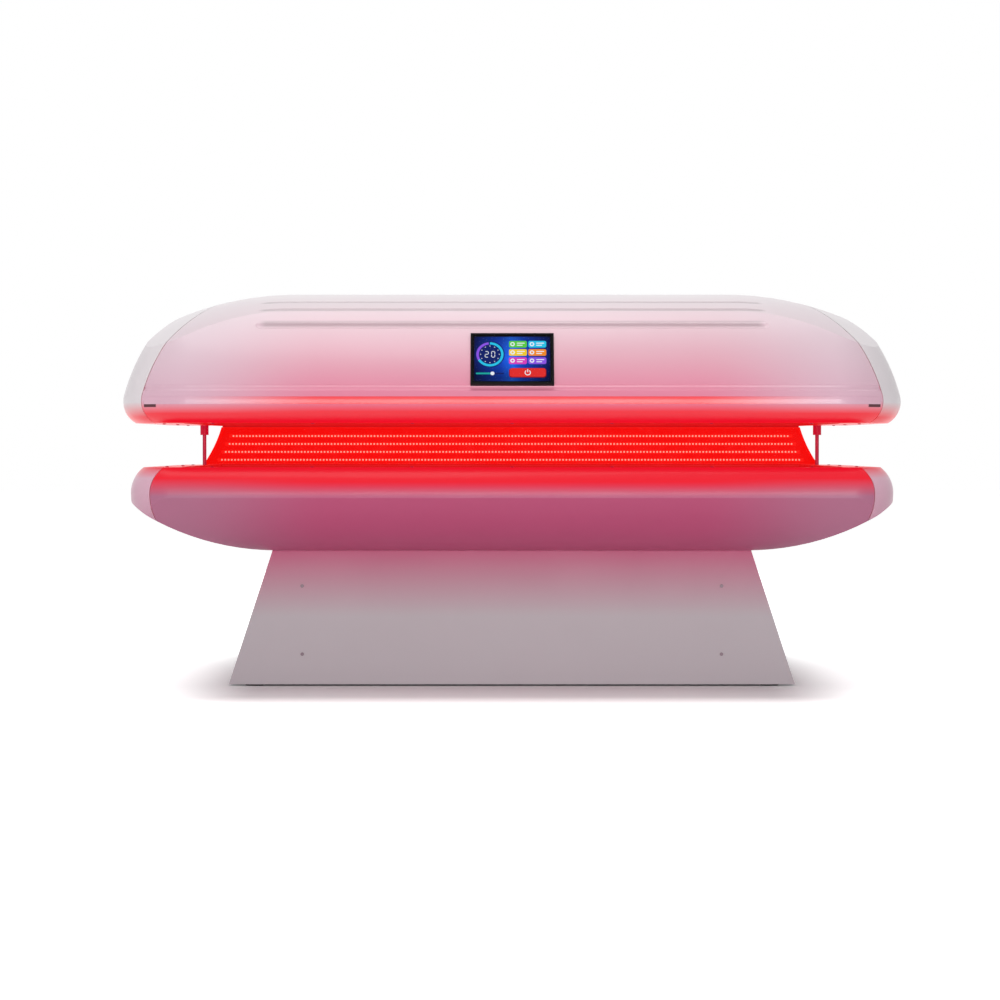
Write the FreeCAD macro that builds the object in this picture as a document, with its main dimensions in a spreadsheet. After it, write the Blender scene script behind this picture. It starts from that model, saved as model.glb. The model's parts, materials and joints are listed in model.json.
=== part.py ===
import FreeCAD, Part
import os
import re
import Sketcher
from FreeCAD import Placement, Rotation, Vector

# A clamshell red light therapy bed: a boat-shaped bed on a sheet metal base, a domed canopy hinged
# along the back, gas struts, light trays behind clear acrylic, fans, power supplies and a touch screen.
# Frame: millimetres, +Z up, front at -Y, origin on the floor under the middle of the object.

SIZES = {
    # heights of the main levels
    "base_height": 390,
    "rim_height": 630,
    "lip_gap": 124,
    # canopy envelope
    "canopy_length": 2210,
    "canopy_depth": 1150,
    "canopy_rise": 386,
    "canopy_belly": 61,
    "canopy_side_radius": 550,
    "canopy_lip_radius": 70,
    "canopy_flat_length": 1272,
    "canopy_arch_radius": 900,
    "canopy_arch_sweep": 60,
    "canopy_crown_radius": 1400,
    "canopy_nose_angle": 15,
    "canopy_plan_radius": 200,
    "canopy_wall": 7,
    "canopy_cap_depth": 70,
    # bed envelope, and how far the canopy reaches past it
    "bed_length": 2150,
    "bed_depth": 1130,
    "end_overlap": 30,
    "side_overlap": 10,
    "bed_belly": 167,
    "keel_end_run": 420,
    "keel_side_run": 235,
    "keel_end_radius": 680,
    "keel_end_sweep": 52,
    "keel_side_radius": 255,
    "keel_side_sweep": 80,
    "keel_overrun": 10,
    "bed_side_radius": 200,
    "bed_lip_radius": 92,
    "bed_plan_radius": 120,
    "bed_wall": 6,
    "bed_cap_depth": 66,
    "seam_gap": 1.6,
    # flutes, crease and trim rail on the canopy
    "flute_radius": 16,
    "flute_bite": 5.2,
    "side_flute_z": 1028,
    "side_flute_end_gap": 380,
    "middle_flute_setback": 155,
    "middle_flute_end_gap": 360,
    "top_flute_setback": 247,
    "top_flute_end_gap": 330,
    "crease_z": 852,
    "crease_width": 18,
    "crease_depth": 4,
    "rail_width": 21,
    "rail_drop": 9,
    "rail_depth": 3,
    "rail_end_gap": 79,
    "plug_width": 8,
    "plug_length": 36,
    "plug_end_gap": 115,
    # decks, light trays and acrylic
    "deck_thickness": 6,
    "fit_gap": 0.3,
    "tunnel_end_gap": 150,
    "tunnel_side_gap": 125,
    "vault_rise": 246,
    "dish_side_gap": 75,
    "dish_sag": 62,
    "acrylic_thickness": 5,
    "tray_offset": 30,
    "tray_thickness": 2,
    "end_liner_thickness": 4,
    "strip_width": 22,
    "strip_thickness": 3,
    "strip_margin": 25,
    "rib_width": 25,
    "rib_height": 25,
    "rib_near": 300,
    "rib_far": 800,
    "bearer_end_gap": 20,
    "bed_tray_drop": 35,
    "light_rows": 11,
    "row_angle_gap": 4.82,
    "row_edge_gap": 70,
    "tube_size": 40,
    # rear wall
    "wall_thickness": 3,
    "wall_depth": 67,
    "wall_height": 119,
    "wall_foot_gap": 97,
    "wall_head_gap": 155,
    "wall_end_hollow": 6,
    "wall_rows": 4,
    "wall_row_pitch": 25.4,
    "wall_row_start": 15,
    "wall_strip_width": 10,
    # hinges
    "hinge_setback": 11,
    "hinge_drop": 10,
    "hinge_length": 120,
    "hinge_leaf": 4,
    "hinge_leaf_height": 46,
    "hinge_knuckle": 35,
    "hinge_barrel_radius": 9,
    "hinge_pin_radius": 4,
    "hinge_spacing": 700,
    "running_gap": 0.05,
    "hinge_play": 0.6,
    # gas struts
    "strut_end_gap": 108,
    "strut_side_gap": 165,
    "strut_foot_height": 600,
    "strut_plate": 3,
    "strut_head_height": 860,
    "strut_tube_radius": 13,
    "strut_rod_radius": 6,
    "strut_tube_foot": 724,
    "strut_pin_radius": 4.5,
    "strut_eye_radius": 14,
    "strut_float": 5,
    # touch screen
    "screen_width": 232,
    "screen_tall": 160,
    "screen_height": 932,
    "screen_proud": 3,
    "screen_box_depth": 34,
    "screen_bezel": 10,
    "screen_glass": 2.5,
    # base
    "base_foot_length": 1630,
    "base_head_length": 1374,
    "base_depth": 660,
    "panel_thickness": 2,
    "panel_clear": 5,
    "pad_radius": 26,
    "pad_height": 8,
    "post_spacing": 1204,
    "screw_low": 92,
    "screw_high": 288,
    "screw_radius": 3,
    "screw_head_radius": 5,
    "screw_head_height": 3,
    "screw_length": 18,
    # fans, supplies and inlet
    "fan_size": 120,
    "fan_depth": 25,
    "fan_bore": 57,
    "fan_hub": 20,
    "fan_shaft": 3,
    "fan_spacing": 800,
    "base_fan_height": 190,
    "canopy_fan_angle": 22,
    "canopy_fan_spacing": 1000,
    "vent_pitch": 11,
    "vent_width": 5,
    "guard_wire": 1.5,
    "supply_length": 215,
    "supply_depth": 115,
    "supply_tall": 50,
    "supply_pitch": 270,
    "inlet_offset": 520,
    "inlet_height": 200,
    "rocker_pin": 1.5,
}

doc = FreeCAD.newDocument("light_bed")
sheet = doc.addObject("Spreadsheet::Sheet", "Sizes")
for row, (alias, size) in enumerate(SIZES.items(), start=1):
    sheet.set(f"A{row}", alias)
    sheet.set(f"B{row}", str(size))
    sheet.setAlias(f"B{row}", alias)
doc.recompute()

worked = doc.addObject("App::FeaturePython", "Worked")
OWNER = dict.fromkeys(SIZES, "Sizes")
NODES = []


# Small helpers: expressions, placement and document objects

def expr(text):
    """The text as a document expression, with each size read from the sheet or from the worked values."""
    return re.sub(r"[a-z]\w*", lambda m: f"{OWNER[m[0]]}.{m[0]}" if m[0] in OWNER else m[0], str(text))


def work(name, text):
    """A value worked out from the sizes, kept as a property that others refer to."""
    worked.addProperty("App::PropertyFloat", name, "Worked")
    worked.setExpression(name, expr(text))
    worked.recompute()
    OWNER[name] = "Worked"
    return name


def num(text):
    """The present value of an expression."""
    found = sheet.evalExpression(expr(text))
    return float(getattr(found, "Value", found))


def bind(thing, **sizes):
    """Ties properties of a document object to expressions."""
    for prop, text in sizes.items():
        thing.setExpression(prop, expr(text))
    return thing


def place(thing, x="0", y="0", z="0", turn=None):
    """Ties the placement to expressions. turn is (axis, angle expression)."""
    if turn:
        axis, angle = turn
        thing.Placement = Placement(Vector(), Rotation(Vector(*axis), num(angle)))
        thing.setExpression("Placement.Rotation.Angle", expr(f"({angle}) * 1 deg"))
    for letter, text in zip("xyz", (x, y, z)):
        thing.setExpression(f"Placement.Base.{letter}", expr(text))
    return thing


def add(kind, label):
    thing = doc.addObject(kind, label)
    thing.Label = label
    return thing


def node(thing):
    """Marks a finished sub-part: its label names its file."""
    NODES.append(thing)
    return thing


def box(label, size, at, turn=None):
    """A block from its low corner."""
    thing = add("Part::Box", label)
    bind(thing, Length=size[0], Width=size[1], Height=size[2])
    return place(thing, *at, turn=turn)


def mid_box(label, size, centre):
    """A block about its centre."""
    low = [f"({c}) - ({s}) / 2" for c, s in zip(centre, size)]
    return box(label, size, low)


AXIS_TURN = {"x": Rotation(Vector(0, 1, 0), 90), "y": Rotation(Vector(1, 0, 0), -90), "z": Rotation()}


def rod(label, axis, radius, length, at):
    """A cylinder that starts at a point and runs along +X, +Y or +Z."""
    thing = add("Part::Cylinder", label)
    bind(thing, Radius=radius, Height=length)
    thing.Placement = Placement(Vector(), AXIS_TURN[axis])
    return place(thing, *at)


def ball(label, radius, at):
    thing = add("Part::Sphere", label)
    bind(thing, Radius=radius)
    return place(thing, *at)


def fuse(label, *shapes):
    thing = add("Part::MultiFuse", label)
    thing.Shapes = list(shapes)
    return thing


def common(label, *shapes):
    thing = add("Part::MultiCommon", label)
    thing.Shapes = list(shapes)
    return thing


def cut(label, base, *tools):
    thing = add("Part::Cut", label)
    thing.Base = base
    thing.Tool = tools[0] if len(tools) == 1 else fuse(f"{label}_tools", *tools)
    return thing


def group(label, *shapes):
    """Separate solids that share one node."""
    thing = add("Part::Compound", label)
    thing.Links = list(shapes)
    return thing


def mirror(label, source, normal=(1, 0, 0)):
    thing = add("Part::Mirroring", label)
    thing.Source = source
    thing.Normal = Vector(*normal)
    return thing


class Via(tuple):
    """A point that an arc passes through, between two corners of an outline."""


def draw(sketch, outline):
    """Draws a closed outline of corners and arc points, each tied to its two expressions."""
    corners = [(i, p) for i, p in enumerate(outline) if not isinstance(p, Via)]
    ends = []
    for k, (i, start) in enumerate(corners):
        stop_index, stop = corners[(k + 1) % len(corners)]
        through = outline[i + 1] if i + 1 < len(outline) and isinstance(outline[i + 1], Via) else None
        marks = (start, through, stop) if through else (start, stop)
        points = [Vector(num(p[0]), num(p[1]), 0) for p in marks]
        first = 1
        if through and (points[1] - points[0]).cross(points[2] - points[1]).z < 0:
            points.reverse()
            first = 2
        index = sketch.addGeometry(Part.Arc(*points) if through else Part.LineSegment(*points))
        ends.append((index, first, 3 - first))
        tie_point(sketch, index, first, start)
        if through:
            mark = sketch.addGeometry(Part.Point(points[1]), True)
            tie_point(sketch, mark, 1, through)
            sketch.addConstraint(Sketcher.Constraint("PointOnObject", mark, 1, index))
    for (index, _, last), (following, first, _) in zip(ends, ends[1:] + ends[:1]):
        sketch.addConstraint(Sketcher.Constraint("Coincident", index, last, following, first))
    return sketch


def tie_point(sketch, index, position, point):
    for kind, text in zip(("DistanceX", "DistanceY"), point):
        made = sketch.addConstraint(Sketcher.Constraint(kind, -1, 1, index, position, num(text)))
        sketch.setExpression(f"Constraints[{made}]", expr(text))


PLANE_TURN = {
    "xy": Rotation(),
    "xz": Rotation(Vector(1, 0, 0), 90),
    "yz": Rotation(Vector(1, 1, 1), 120),
}
PLANE_NORMAL = {"xy": Vector(0, 0, 1), "xz": Vector(0, 1, 0), "yz": Vector(1, 0, 0)}


def prism(label, plane, outline, start, length):
    """An outline on a plane through the origin, pulled along the plane's axis from start for length."""
    sketch = add("Sketcher::SketchObject", f"{label}_outline")
    sketch.Placement = Placement(Vector(), PLANE_TURN[plane])
    draw(sketch, outline)
    solid = add("Part::Extrusion", label)
    solid.Base = sketch
    solid.DirMode = "Custom"
    solid.Dir = PLANE_NORMAL[plane]
    solid.Solid = True
    bind(solid, LengthFwd=length)
    axis = {"xy": "z", "xz": "y", "yz": "x"}[plane]
    solid.setExpression(f"Placement.Base.{axis}", expr(start))
    return solid


def flip(outline):
    """The mirror image of an open outline about its second axis, in reverse order."""
    return [type(p)((f"-({p[0]})", p[1])) for p in reversed(outline)]


def body_pad(label, plane, outline, thickness):
    """A body with one pad of an outline on one of its own planes."""
    body = add("PartDesign::Body", label)
    sketch = body_sketch(body, f"{label}_profile", plane, outline)
    pad = body.newObject("PartDesign::Pad", f"{label}_pad")
    pad.Profile = sketch
    bind(pad, Length=thickness)
    return body


def body_sketch(body, name, plane, outline=None):
    sketch = body.newObject("Sketcher::SketchObject", name)
    role = f"{plane.upper()}_Plane"
    support = [f for f in body.Origin.OriginFeatures if f.Role == role][0]
    sketch.AttachmentSupport = (support, [""])
    sketch.MapMode = "FlatFace"
    if outline:
        draw(sketch, outline)
    return sketch


def circles(sketch, centres, radius):
    """Draws round holes, each tied to its centre and radius."""
    for centre in centres:
        shape = Part.Circle(Vector(num(centre[0]), num(centre[1]), 0), Vector(0, 0, 1), num(radius))
        index = sketch.addGeometry(shape)
        tie_point(sketch, index, 3, centre)
        made = sketch.addConstraint(Sketcher.Constraint("Radius", index, num(radius)))
        sketch.setExpression(f"Constraints[{made}]", expr(radius))
    return sketch


def drill(body, name, plane, centres, radius):
    """Round holes right through a body."""
    sketch = circles(body_sketch(body, f"{name}_circles", plane), centres, radius)
    pocket = body.newObject("PartDesign::Pocket", name)
    pocket.Profile = sketch
    pocket.Type = "ThroughAll"
    pocket.Midplane = True


def revolve(label, outline):
    """A body turned about its own Z axis from a half section in its XZ plane."""
    body = add("PartDesign::Body", label)
    sketch = body_sketch(body, f"{label}_section", "xz", outline)
    turn = body.newObject("PartDesign::Revolution", f"{label}_turn")
    turn.Profile = sketch
    turn.ReferenceAxis = (sketch, ["V_Axis"])
    turn.Angle = 360
    return body


# Levels and centre lines that several pieces share

work("lip_z", "rim_height + lip_gap")
work("canopy_belly_z", "lip_z + canopy_belly")
work("canopy_top_z", "lip_z + canopy_rise")
work("bed_belly_z", "base_height + bed_belly")


def between(centre, radius, one, two):
    """The point of a circle half way between two of its directions, given as unit vectors."""
    stretch = f"sqrt(2 + 2 * (({one[0]}) * ({two[0]}) + ({one[1]}) * ({two[1]})))"
    return Via(f"({c}) + ({radius}) * (({a}) + ({b})) / {stretch}" for c, a, b in zip(centre, one, two))


def on_circle(centre, radius, way):
    return tuple(f"({c}) + ({radius}) * ({w})" for c, w in zip(centre, way))


def plan_sweep(label, profile, corner, reach_x, reach_y, radius):
    """A side profile carried round a rounded plan: two prisms and four quarter turns."""
    front, left = profile(reach_y), profile(reach_x)
    along_half, across_half = f"({reach_x} - {radius})", f"({reach_y} - {radius})"
    along = prism(f"{label}_along", "yz", front + flip(front), f"-{along_half}", f"2 * {along_half}")
    across = prism(f"{label}_across", "xz", left + flip(left), f"-{across_half}", f"2 * {across_half}")
    section = add("Sketcher::SketchObject", f"{label}_corner_outline")
    section.Placement = Placement(Vector(), PLANE_TURN["xz"])
    quarter = flip(corner)[::-1]
    draw(section, [("0", quarter[0][1])] + quarter + [("0", quarter[-1][1])])
    turned = add("Part::Revolution", f"{label}_corner")
    turned.Source = section
    turned.Axis = Vector(0, 0, 1)
    turned.Angle = 90
    turned.Solid = True
    place(turned, along_half, across_half, "0")
    pair = group(f"{label}_corners", turned, mirror(f"{label}_corner_twin", turned))
    return fuse(f"{label}_plan", along, across, pair, mirror(f"{label}_corners_front", pair, (0, 1, 0)))


# Lengths and widths that follow the two halves: what serves both keeps inside the smaller one
work("shared_length", "min(canopy_length - 2 * end_overlap; bed_length)")
work("shared_depth", "min(canopy_depth - 2 * side_overlap; bed_depth)")
work("tunnel_length", "shared_length - 2 * tunnel_end_gap")
work("tunnel_width", "canopy_depth - 2 * tunnel_side_gap")
work("dish_width", "bed_depth - 2 * dish_side_gap")
work("row_pitch", "(dish_width - 2 * row_edge_gap) / (light_rows - 1)")
work("wall_foot_length", "shared_length - 2 * wall_foot_gap")
work("wall_head_length", "shared_length - 2 * wall_head_gap")
work("strut_x", "shared_length / 2 - strut_end_gap")
work("strut_setback", "shared_depth / 2 - strut_side_gap")
work("bed_keel_length", "bed_length - 2 * keel_end_run")
work("bed_keel_depth", "bed_depth - 2 * keel_side_run")
work("bearer_far", "bed_keel_length / 2 - bearer_end_gap")
work("rail_length", "canopy_length - 2 * rail_end_gap")
work("plug_offset", "canopy_length / 2 - plug_end_gap")
for name in ("side", "middle", "top"):
    work(f"{name}_flute_length", f"canopy_length - 2 * {name}_flute_end_gap")
for name in ("middle", "top"):
    work(f"{name}_flute_y", f"canopy_depth / 2 - {name}_flute_setback")


# Canopy envelope: a nosed side profile carried round a rounded plan, under a crown that drops at both ends

work("side_set", "canopy_side_radius - canopy_lip_radius")
work("side_drop_x", "canopy_lip_radius + side_set * cos(canopy_nose_angle)")
work("side_centre_z", "canopy_belly_z - side_set * sin(canopy_nose_angle)")
work("crown_centre_z", "canopy_top_z - canopy_crown_radius")
work("arch_centre_z", "canopy_top_z - canopy_arch_radius")
work("over_top_z", "canopy_top_z + 20")
work("corner_top_z", "canopy_top_z - 25")


def nose_profile(reach, inset, creased=False, top="over_top_z"):
    """The canopy side from its lip round the nose and up, for a section reaching that far."""
    nose = (f"-({reach} - canopy_lip_radius)", "canopy_belly_z")
    side = (f"-({reach} - side_drop_x)", "side_centre_z")
    r, big = f"(canopy_lip_radius - {inset})", f"(canopy_side_radius - {inset})"
    low = (f"-sqrt(1 - (canopy_belly / {r}) ^ 2)", f"-canopy_belly / {r}")
    bend = ("-cos(canopy_nose_angle)", "sin(canopy_nose_angle)")
    high_v = f"({top} - side_centre_z) / {big}"
    high = (f"-sqrt(1 - ({high_v}) ^ 2)", high_v)
    dent = []
    after = bend
    if creased:
        rows = ("crease_z - crease_width / 2", "crease_z", "crease_z + crease_width / 2")
        ways = []
        for row in rows:
            v = f"(({row}) - side_centre_z) / {big}"
            ways.append((f"-sqrt(1 - ({v}) ^ 2)", v))
        bottom = Via(on_circle(side, f"({big} - crease_depth)", ways[1]))
        dent = [between(side, big, bend, ways[0]), on_circle(side, big, ways[0]), bottom,
                on_circle(side, big, ways[2])]
        after = ways[2]
    return [
        on_circle(nose, r, low),
        between(nose, r, low, bend),
        on_circle(nose, r, bend),
        *dent,
        between(side, big, after, high),
        on_circle(side, big, high),
    ]


def crown_cover(label, inset):
    """All that lies above the crown: a straight middle, and two ends turned down about the arch's centres."""
    crown = f"(canopy_crown_radius - {inset})"

    def section(foot):
        edge = f"crown_centre_z + sqrt({crown} ^ 2 - canopy_depth ^ 2) - {foot}"
        sky = f"canopy_top_z + canopy_rise - {foot}"
        return [("-canopy_depth", edge), Via(("0", f"canopy_top_z - {inset} - {foot}")),
                ("canopy_depth", edge), ("canopy_depth", sky), ("-canopy_depth", sky)]

    middle = prism(f"{label}_middle", "yz", section("0"), "-canopy_flat_length / 2", "canopy_flat_length")
    outline = add("Sketcher::SketchObject", f"{label}_end_outline")
    outline.Placement = Placement(Vector(), PLANE_TURN["yz"])
    draw(outline, section("arch_centre_z"))
    end = add("Part::Revolution", f"{label}_end")
    end.Source = outline
    end.Axis = Vector(0, 1, 0)
    bind(end, Angle="canopy_arch_sweep")
    end.Solid = True
    place(end, "canopy_flat_length / 2", "0", "arch_centre_z")
    return middle, end, mirror(f"{label}_end_twin", end)


def canopy_envelope(label, inset, creased=False):
    plan = plan_sweep(label, lambda reach: nose_profile(reach, inset, creased),
                      nose_profile("canopy_plan_radius", inset, creased, "corner_top_z"),
                      "canopy_length / 2", "canopy_depth / 2", "canopy_plan_radius")
    return cut(label, plan, *crown_cover(f"{label}_crown", inset))


# Bed envelope: a lipped side profile carried round a rounded plan, over a curved keel

def hull_profile(reach, inset):
    """The bed side from its rim round the belly and down past the keel, for a section reaching that far."""
    lip = (f"-({reach} - bed_lip_radius)", "bed_belly_z")
    side = (f"-({reach} - bed_side_radius)", "bed_belly_z")
    r, big = f"(bed_lip_radius - {inset})", f"(bed_side_radius - {inset})"
    rise, fall = f"(rim_height - bed_belly_z) / {r}", f"-(bed_belly + keel_overrun) / {big}"
    high = (f"-sqrt(1 - ({rise}) ^ 2)", rise)
    low = (f"-sqrt(1 - ({fall}) ^ 2)", fall)
    return [
        on_circle(lip, r, high),
        between(lip, r, high, ("-1", "0")),
        (f"-({reach} - {inset})", "bed_belly_z"),
        between(side, big, ("-1", "0"), low),
        on_circle(side, big, low),
    ]


def keel_prism(label, plane, inset, flat, radius, sweep, length):
    """Everything above a keel that is flat in the middle and rises in an arc on both sides."""
    centre = (f"-({flat}) / 2", f"base_height + {radius}")
    r = f"({radius} - {inset})"
    way = (f"-sin({sweep})", f"-cos({sweep})")
    end = on_circle(centre, r, way)
    left = [(end[0], "rim_height + lip_gap"), end, between(centre, r, way, ("0", "-1")),
            (centre[0], f"base_height + {inset}")]
    return prism(label, plane, left + flip(left), f"-{length}", f"2 * {length}")


def bed_envelope(label, inset):
    plan = plan_sweep(label, lambda reach: hull_profile(reach, inset), hull_profile("bed_plan_radius", inset),
                      "bed_length / 2", "bed_depth / 2", "bed_plan_radius")
    ends = keel_prism(f"{label}_end_keel", "xz", inset, "bed_keel_length",
                      "keel_end_radius", "keel_end_sweep", "bed_depth")
    sides = keel_prism(f"{label}_side_keel", "yz", inset, "bed_keel_depth",
                       "keel_side_radius", "keel_side_sweep", "bed_length")
    return common(label, plan, ends, sides)


bed_outer = bed_envelope("bed_outer", "0")
bed_inner = bed_envelope("bed_inner", "bed_wall")
canopy_outer = canopy_envelope("canopy_outer", "0", creased=True)
canopy_inner = canopy_envelope("canopy_inner", "canopy_wall")


# Canopy skin: shell, end caps, flutes, trim rail, trim plugs and vents

canopy_skin = cut("canopy_skin", canopy_outer, canopy_inner)
trim_floor = canopy_envelope("trim_floor", "rail_depth")
trim_layer = cut("trim_layer", canopy_outer, trim_floor)


def canopy_core(label, depth):
    """The length of canopy left when that much is parted off each end along the end profile."""
    left = nose_profile(f"(canopy_length / 2 - {depth})", "0")
    return prism(label, "xz", left + flip(left), "-canopy_depth", "2 * canopy_depth")


def half_space(label, side):
    """A block that holds everything on the left (-1) or right (1) of the middle."""
    low = "-canopy_length" if side < 0 else "0"
    return box(label, ("canopy_length", "4 * canopy_depth", "4 * canopy_rise"),
               (low, "-2 * canopy_depth", "0"))


left_half = half_space("left_half", -1)
right_half = half_space("right_half", 1)
cap_skin = cut("cap_skin", canopy_envelope("cap_outer", "0"), canopy_inner)
canopy_caps = cut("canopy_caps", cap_skin, canopy_core("cap_seam", "canopy_cap_depth"))
node(common("canopy_left_end_cap", canopy_caps, left_half))
node(common("canopy_right_end_cap", canopy_caps, right_half))


def flute(label, length, y, z):
    """A round-ended groove cutter along X."""
    half = f"({length}) / 2 - flute_radius"
    shaft = rod(f"{label}_shaft", "x", "flute_radius", f"2 * ({half})", (f"-({half})", y, z))
    ends = [ball(f"{label}_end_{i}", "flute_radius", (x, y, z)) for i, x in enumerate((f"-({half})", half))]
    return fuse(label, shaft, *ends)


work("flute_lift", "flute_radius - flute_bite")
work("side_y", "canopy_depth / 2 - side_drop_x")
work("side_flute_rise", "side_flute_z - side_centre_z")
work("side_flute_run", "sqrt(canopy_side_radius ^ 2 - side_flute_rise ^ 2)")
work("flute_scale", "1 + flute_lift / canopy_side_radius")
flutes = [flute("side_flute", "side_flute_length", "-side_y - side_flute_run * flute_scale",
                "side_centre_z + side_flute_rise * flute_scale")]
for name in ("middle", "top"):
    slope = f"sqrt(1 - ({name}_flute_y / canopy_crown_radius) ^ 2)"
    flutes.append(flute(f"{name}_flute", f"{name}_flute_length",
                        f"-{name}_flute_y * (1 + flute_lift / canopy_crown_radius)",
                        f"crown_centre_z + (canopy_crown_radius + flute_lift) * {slope}"))
front_flutes = group("front_flutes", *flutes)
rear_flutes = mirror("rear_flutes", front_flutes, (0, 1, 0))


def rail_band(label, slack):
    """The stretch of skin that the rail fills, grown by slack on its edges."""
    size = (f"rail_length + 2 * {slack}", "canopy_depth / 2 - 200", f"rail_width + 2 * {slack}")
    return box(label, size, (f"-rail_length / 2 - {slack}", "-canopy_depth / 2 - 1",
                             f"canopy_belly_z - rail_drop - {slack}"))


def plug_band(label, slack):
    size = (f"plug_length + 2 * {slack}", "canopy_depth / 2 - 200", f"plug_width + 2 * {slack}")
    return box(label, size, (f"plug_offset - {slack}", "-canopy_depth / 2 - 1",
                             f"canopy_belly_z - rail_drop - plug_width - {slack}"))


node(common("canopy_front_rail", trim_layer, rail_band("rail_reach", "0")))
right_plug = common("right_plug", trim_layer, plug_band("plug_reach", "0"))
node(group("canopy_trim_plugs", right_plug, mirror("left_plug", right_plug)))
plug_room = plug_band("plug_room", "fit_gap")
trim_room = common("trim_room", trim_layer, fuse("trim_bands", rail_band("rail_room", "fit_gap"), plug_room,
                                                  mirror("left_plug_room", plug_room)))

# Touch screen place on the front skin: local x, local y up the slope, local z out of the face
work("screen_lean", "asin((screen_height - side_centre_z) / canopy_side_radius)")
work("screen_turn", "90 - screen_lean")
work("screen_y", "-side_y - (canopy_side_radius + screen_proud) * cos(screen_lean)")
work("screen_z", "side_centre_z + (canopy_side_radius + screen_proud) * sin(screen_lean)")


def screen_box(label, size, low):
    """A block of the touch screen, from its low corner in the screen's own axes."""
    a, b, c = low
    at = (a, f"screen_y + ({b}) * cos(screen_turn) - ({c}) * sin(screen_turn)",
          f"screen_z + ({b}) * sin(screen_turn) + ({c}) * cos(screen_turn)")
    return box(label, size, at, turn=((1, 0, 0), "screen_turn"))


def screen_block(label, grow, low, high):
    """A block centred on the screen face, larger by grow on every side, between two depths."""
    size = (f"screen_width + 2 * ({grow})", f"screen_tall + 2 * ({grow})", f"({high}) - ({low})")
    return screen_box(label, size, (f"-screen_width / 2 - ({grow})", f"-screen_tall / 2 - ({grow})", low))


screen_room = screen_block("screen_room", "fit_gap", "-screen_box_depth", "20")

# Fans sit inside the rear skin: local z out of the skin
work("fan_turn", "canopy_fan_angle - 90")
work("fan_seat", "sqrt((canopy_side_radius - canopy_wall) ^ 2 - (fan_size / 2) ^ 2) - fit_gap - 0.2")
work("fan_y", "side_y + fan_seat * cos(canopy_fan_angle)")
work("fan_z", "side_centre_z + fan_seat * sin(canopy_fan_angle)")


def at_fan(side, a, b, c):
    """A point given in the axes of a canopy fan, on the left (-1) or the right (1)."""
    return (f"({side}) * canopy_fan_spacing / 2 + ({a})",
            f"fan_y + ({b}) * cos(fan_turn) - ({c}) * sin(fan_turn)",
            f"fan_z + ({b}) * sin(fan_turn) + ({c}) * cos(fan_turn)")


vents = []
for side, name in ((-1, "left"), (1, "right")):
    for row in range(-4, 5):
        wide = f"2 * sqrt((fan_bore - 6) ^ 2 - ({row} * vent_pitch) ^ 2)"
        low = at_fan(side, f"-({wide}) / 2", f"{row} * vent_pitch - vent_width / 2", "-10")
        vents.append(box(f"{name}_vent_{row + 5}", (wide, "vent_width", "60"), low,
                         turn=((1, 0, 0), "fan_turn")))

canopy_body = common("canopy_body", canopy_skin, canopy_core("shell_seam", "(canopy_cap_depth + seam_gap)"))
node(cut("canopy_shell", canopy_body, front_flutes, rear_flutes, trim_room, screen_room,
         group("canopy_vents", *vents)))


# Canopy inside: deck, acrylic vault, light tray, light strips, end liners, ribs and spine

def rounded_rect(half_x, half_y, radius):
    """A rectangle with round corners about the origin."""
    points = []
    for sx, sy, upright in ((-1, -1, False), (1, -1, True), (1, 1, False), (-1, 1, True)):
        cx, cy = f"{sx} * (({half_x}) - ({radius}))", f"{sy} * (({half_y}) - ({radius}))"
        flat = (cx, f"{cy} + {sy} * ({radius})")
        wall = (f"{cx} + {sx} * ({radius})", cy)
        bend = Via((f"{cx} + {sx} * ({radius}) * sqrt(0.5)", f"{cy} + {sy} * ({radius}) * sqrt(0.5)"))
        points += [flat, bend, wall] if upright else [wall, bend, flat]
    return points


work("canopy_lip_in", "canopy_lip_radius + fit_gap"
     " - sqrt((canopy_lip_radius - canopy_wall) ^ 2 - canopy_belly ^ 2)")
work("canopy_deck_z", "lip_z + deck_thickness")
work("vault_radius", "((tunnel_width / 2) ^ 2 + vault_rise ^ 2) / (2 * vault_rise)")
work("vault_z", "canopy_deck_z + vault_rise - vault_radius")
work("vault_angle", "asin(tunnel_width / 2 / vault_radius)")
work("row_angle", "2 * (vault_angle - row_angle_gap) / (light_rows - 1)")
work("tray_radius", "vault_radius + tray_offset")
work("rib_radius", "tray_radius + tray_thickness + fit_gap")

canopy_plate = prism("canopy_plate", "xy", rounded_rect("canopy_length / 2 - canopy_lip_in",
                     "canopy_depth / 2 - canopy_lip_in", "canopy_plan_radius - canopy_lip_in"),
                     "lip_z", "deck_thickness")
tunnel_hole = mid_box("tunnel_hole", ("tunnel_length - 8", "tunnel_width - 6", "4 * deck_thickness"),
                      ("0", "0", "lip_z"))
tube_slot = box("tube_slot", ("34", "86", "4 * deck_thickness"),
                ("strut_x - 17", "strut_setback - 18", "lip_z - 9"))
node(cut("canopy_deck", canopy_plate, tunnel_hole, tube_slot, mirror("left_tube_slot", tube_slot)))


def vault_half(radius):
    """Half width of the vault at the deck for a radius."""
    return f"sqrt(({radius}) ^ 2 - (canopy_deck_z - vault_z) ^ 2)"


def vault_band(label, low, high, start, length):
    """A curved sheet over the tunnel between two radii, standing on the canopy deck."""
    line = [(f"-{vault_half(high)}", "canopy_deck_z"), Via(("0", f"vault_z + {high}")),
            (vault_half(high), "canopy_deck_z"), (vault_half(low), "canopy_deck_z"),
            Via(("0", f"vault_z + {low}")), (f"-{vault_half(low)}", "canopy_deck_z")]
    return prism(label, "yz", line, start, length)


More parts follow.
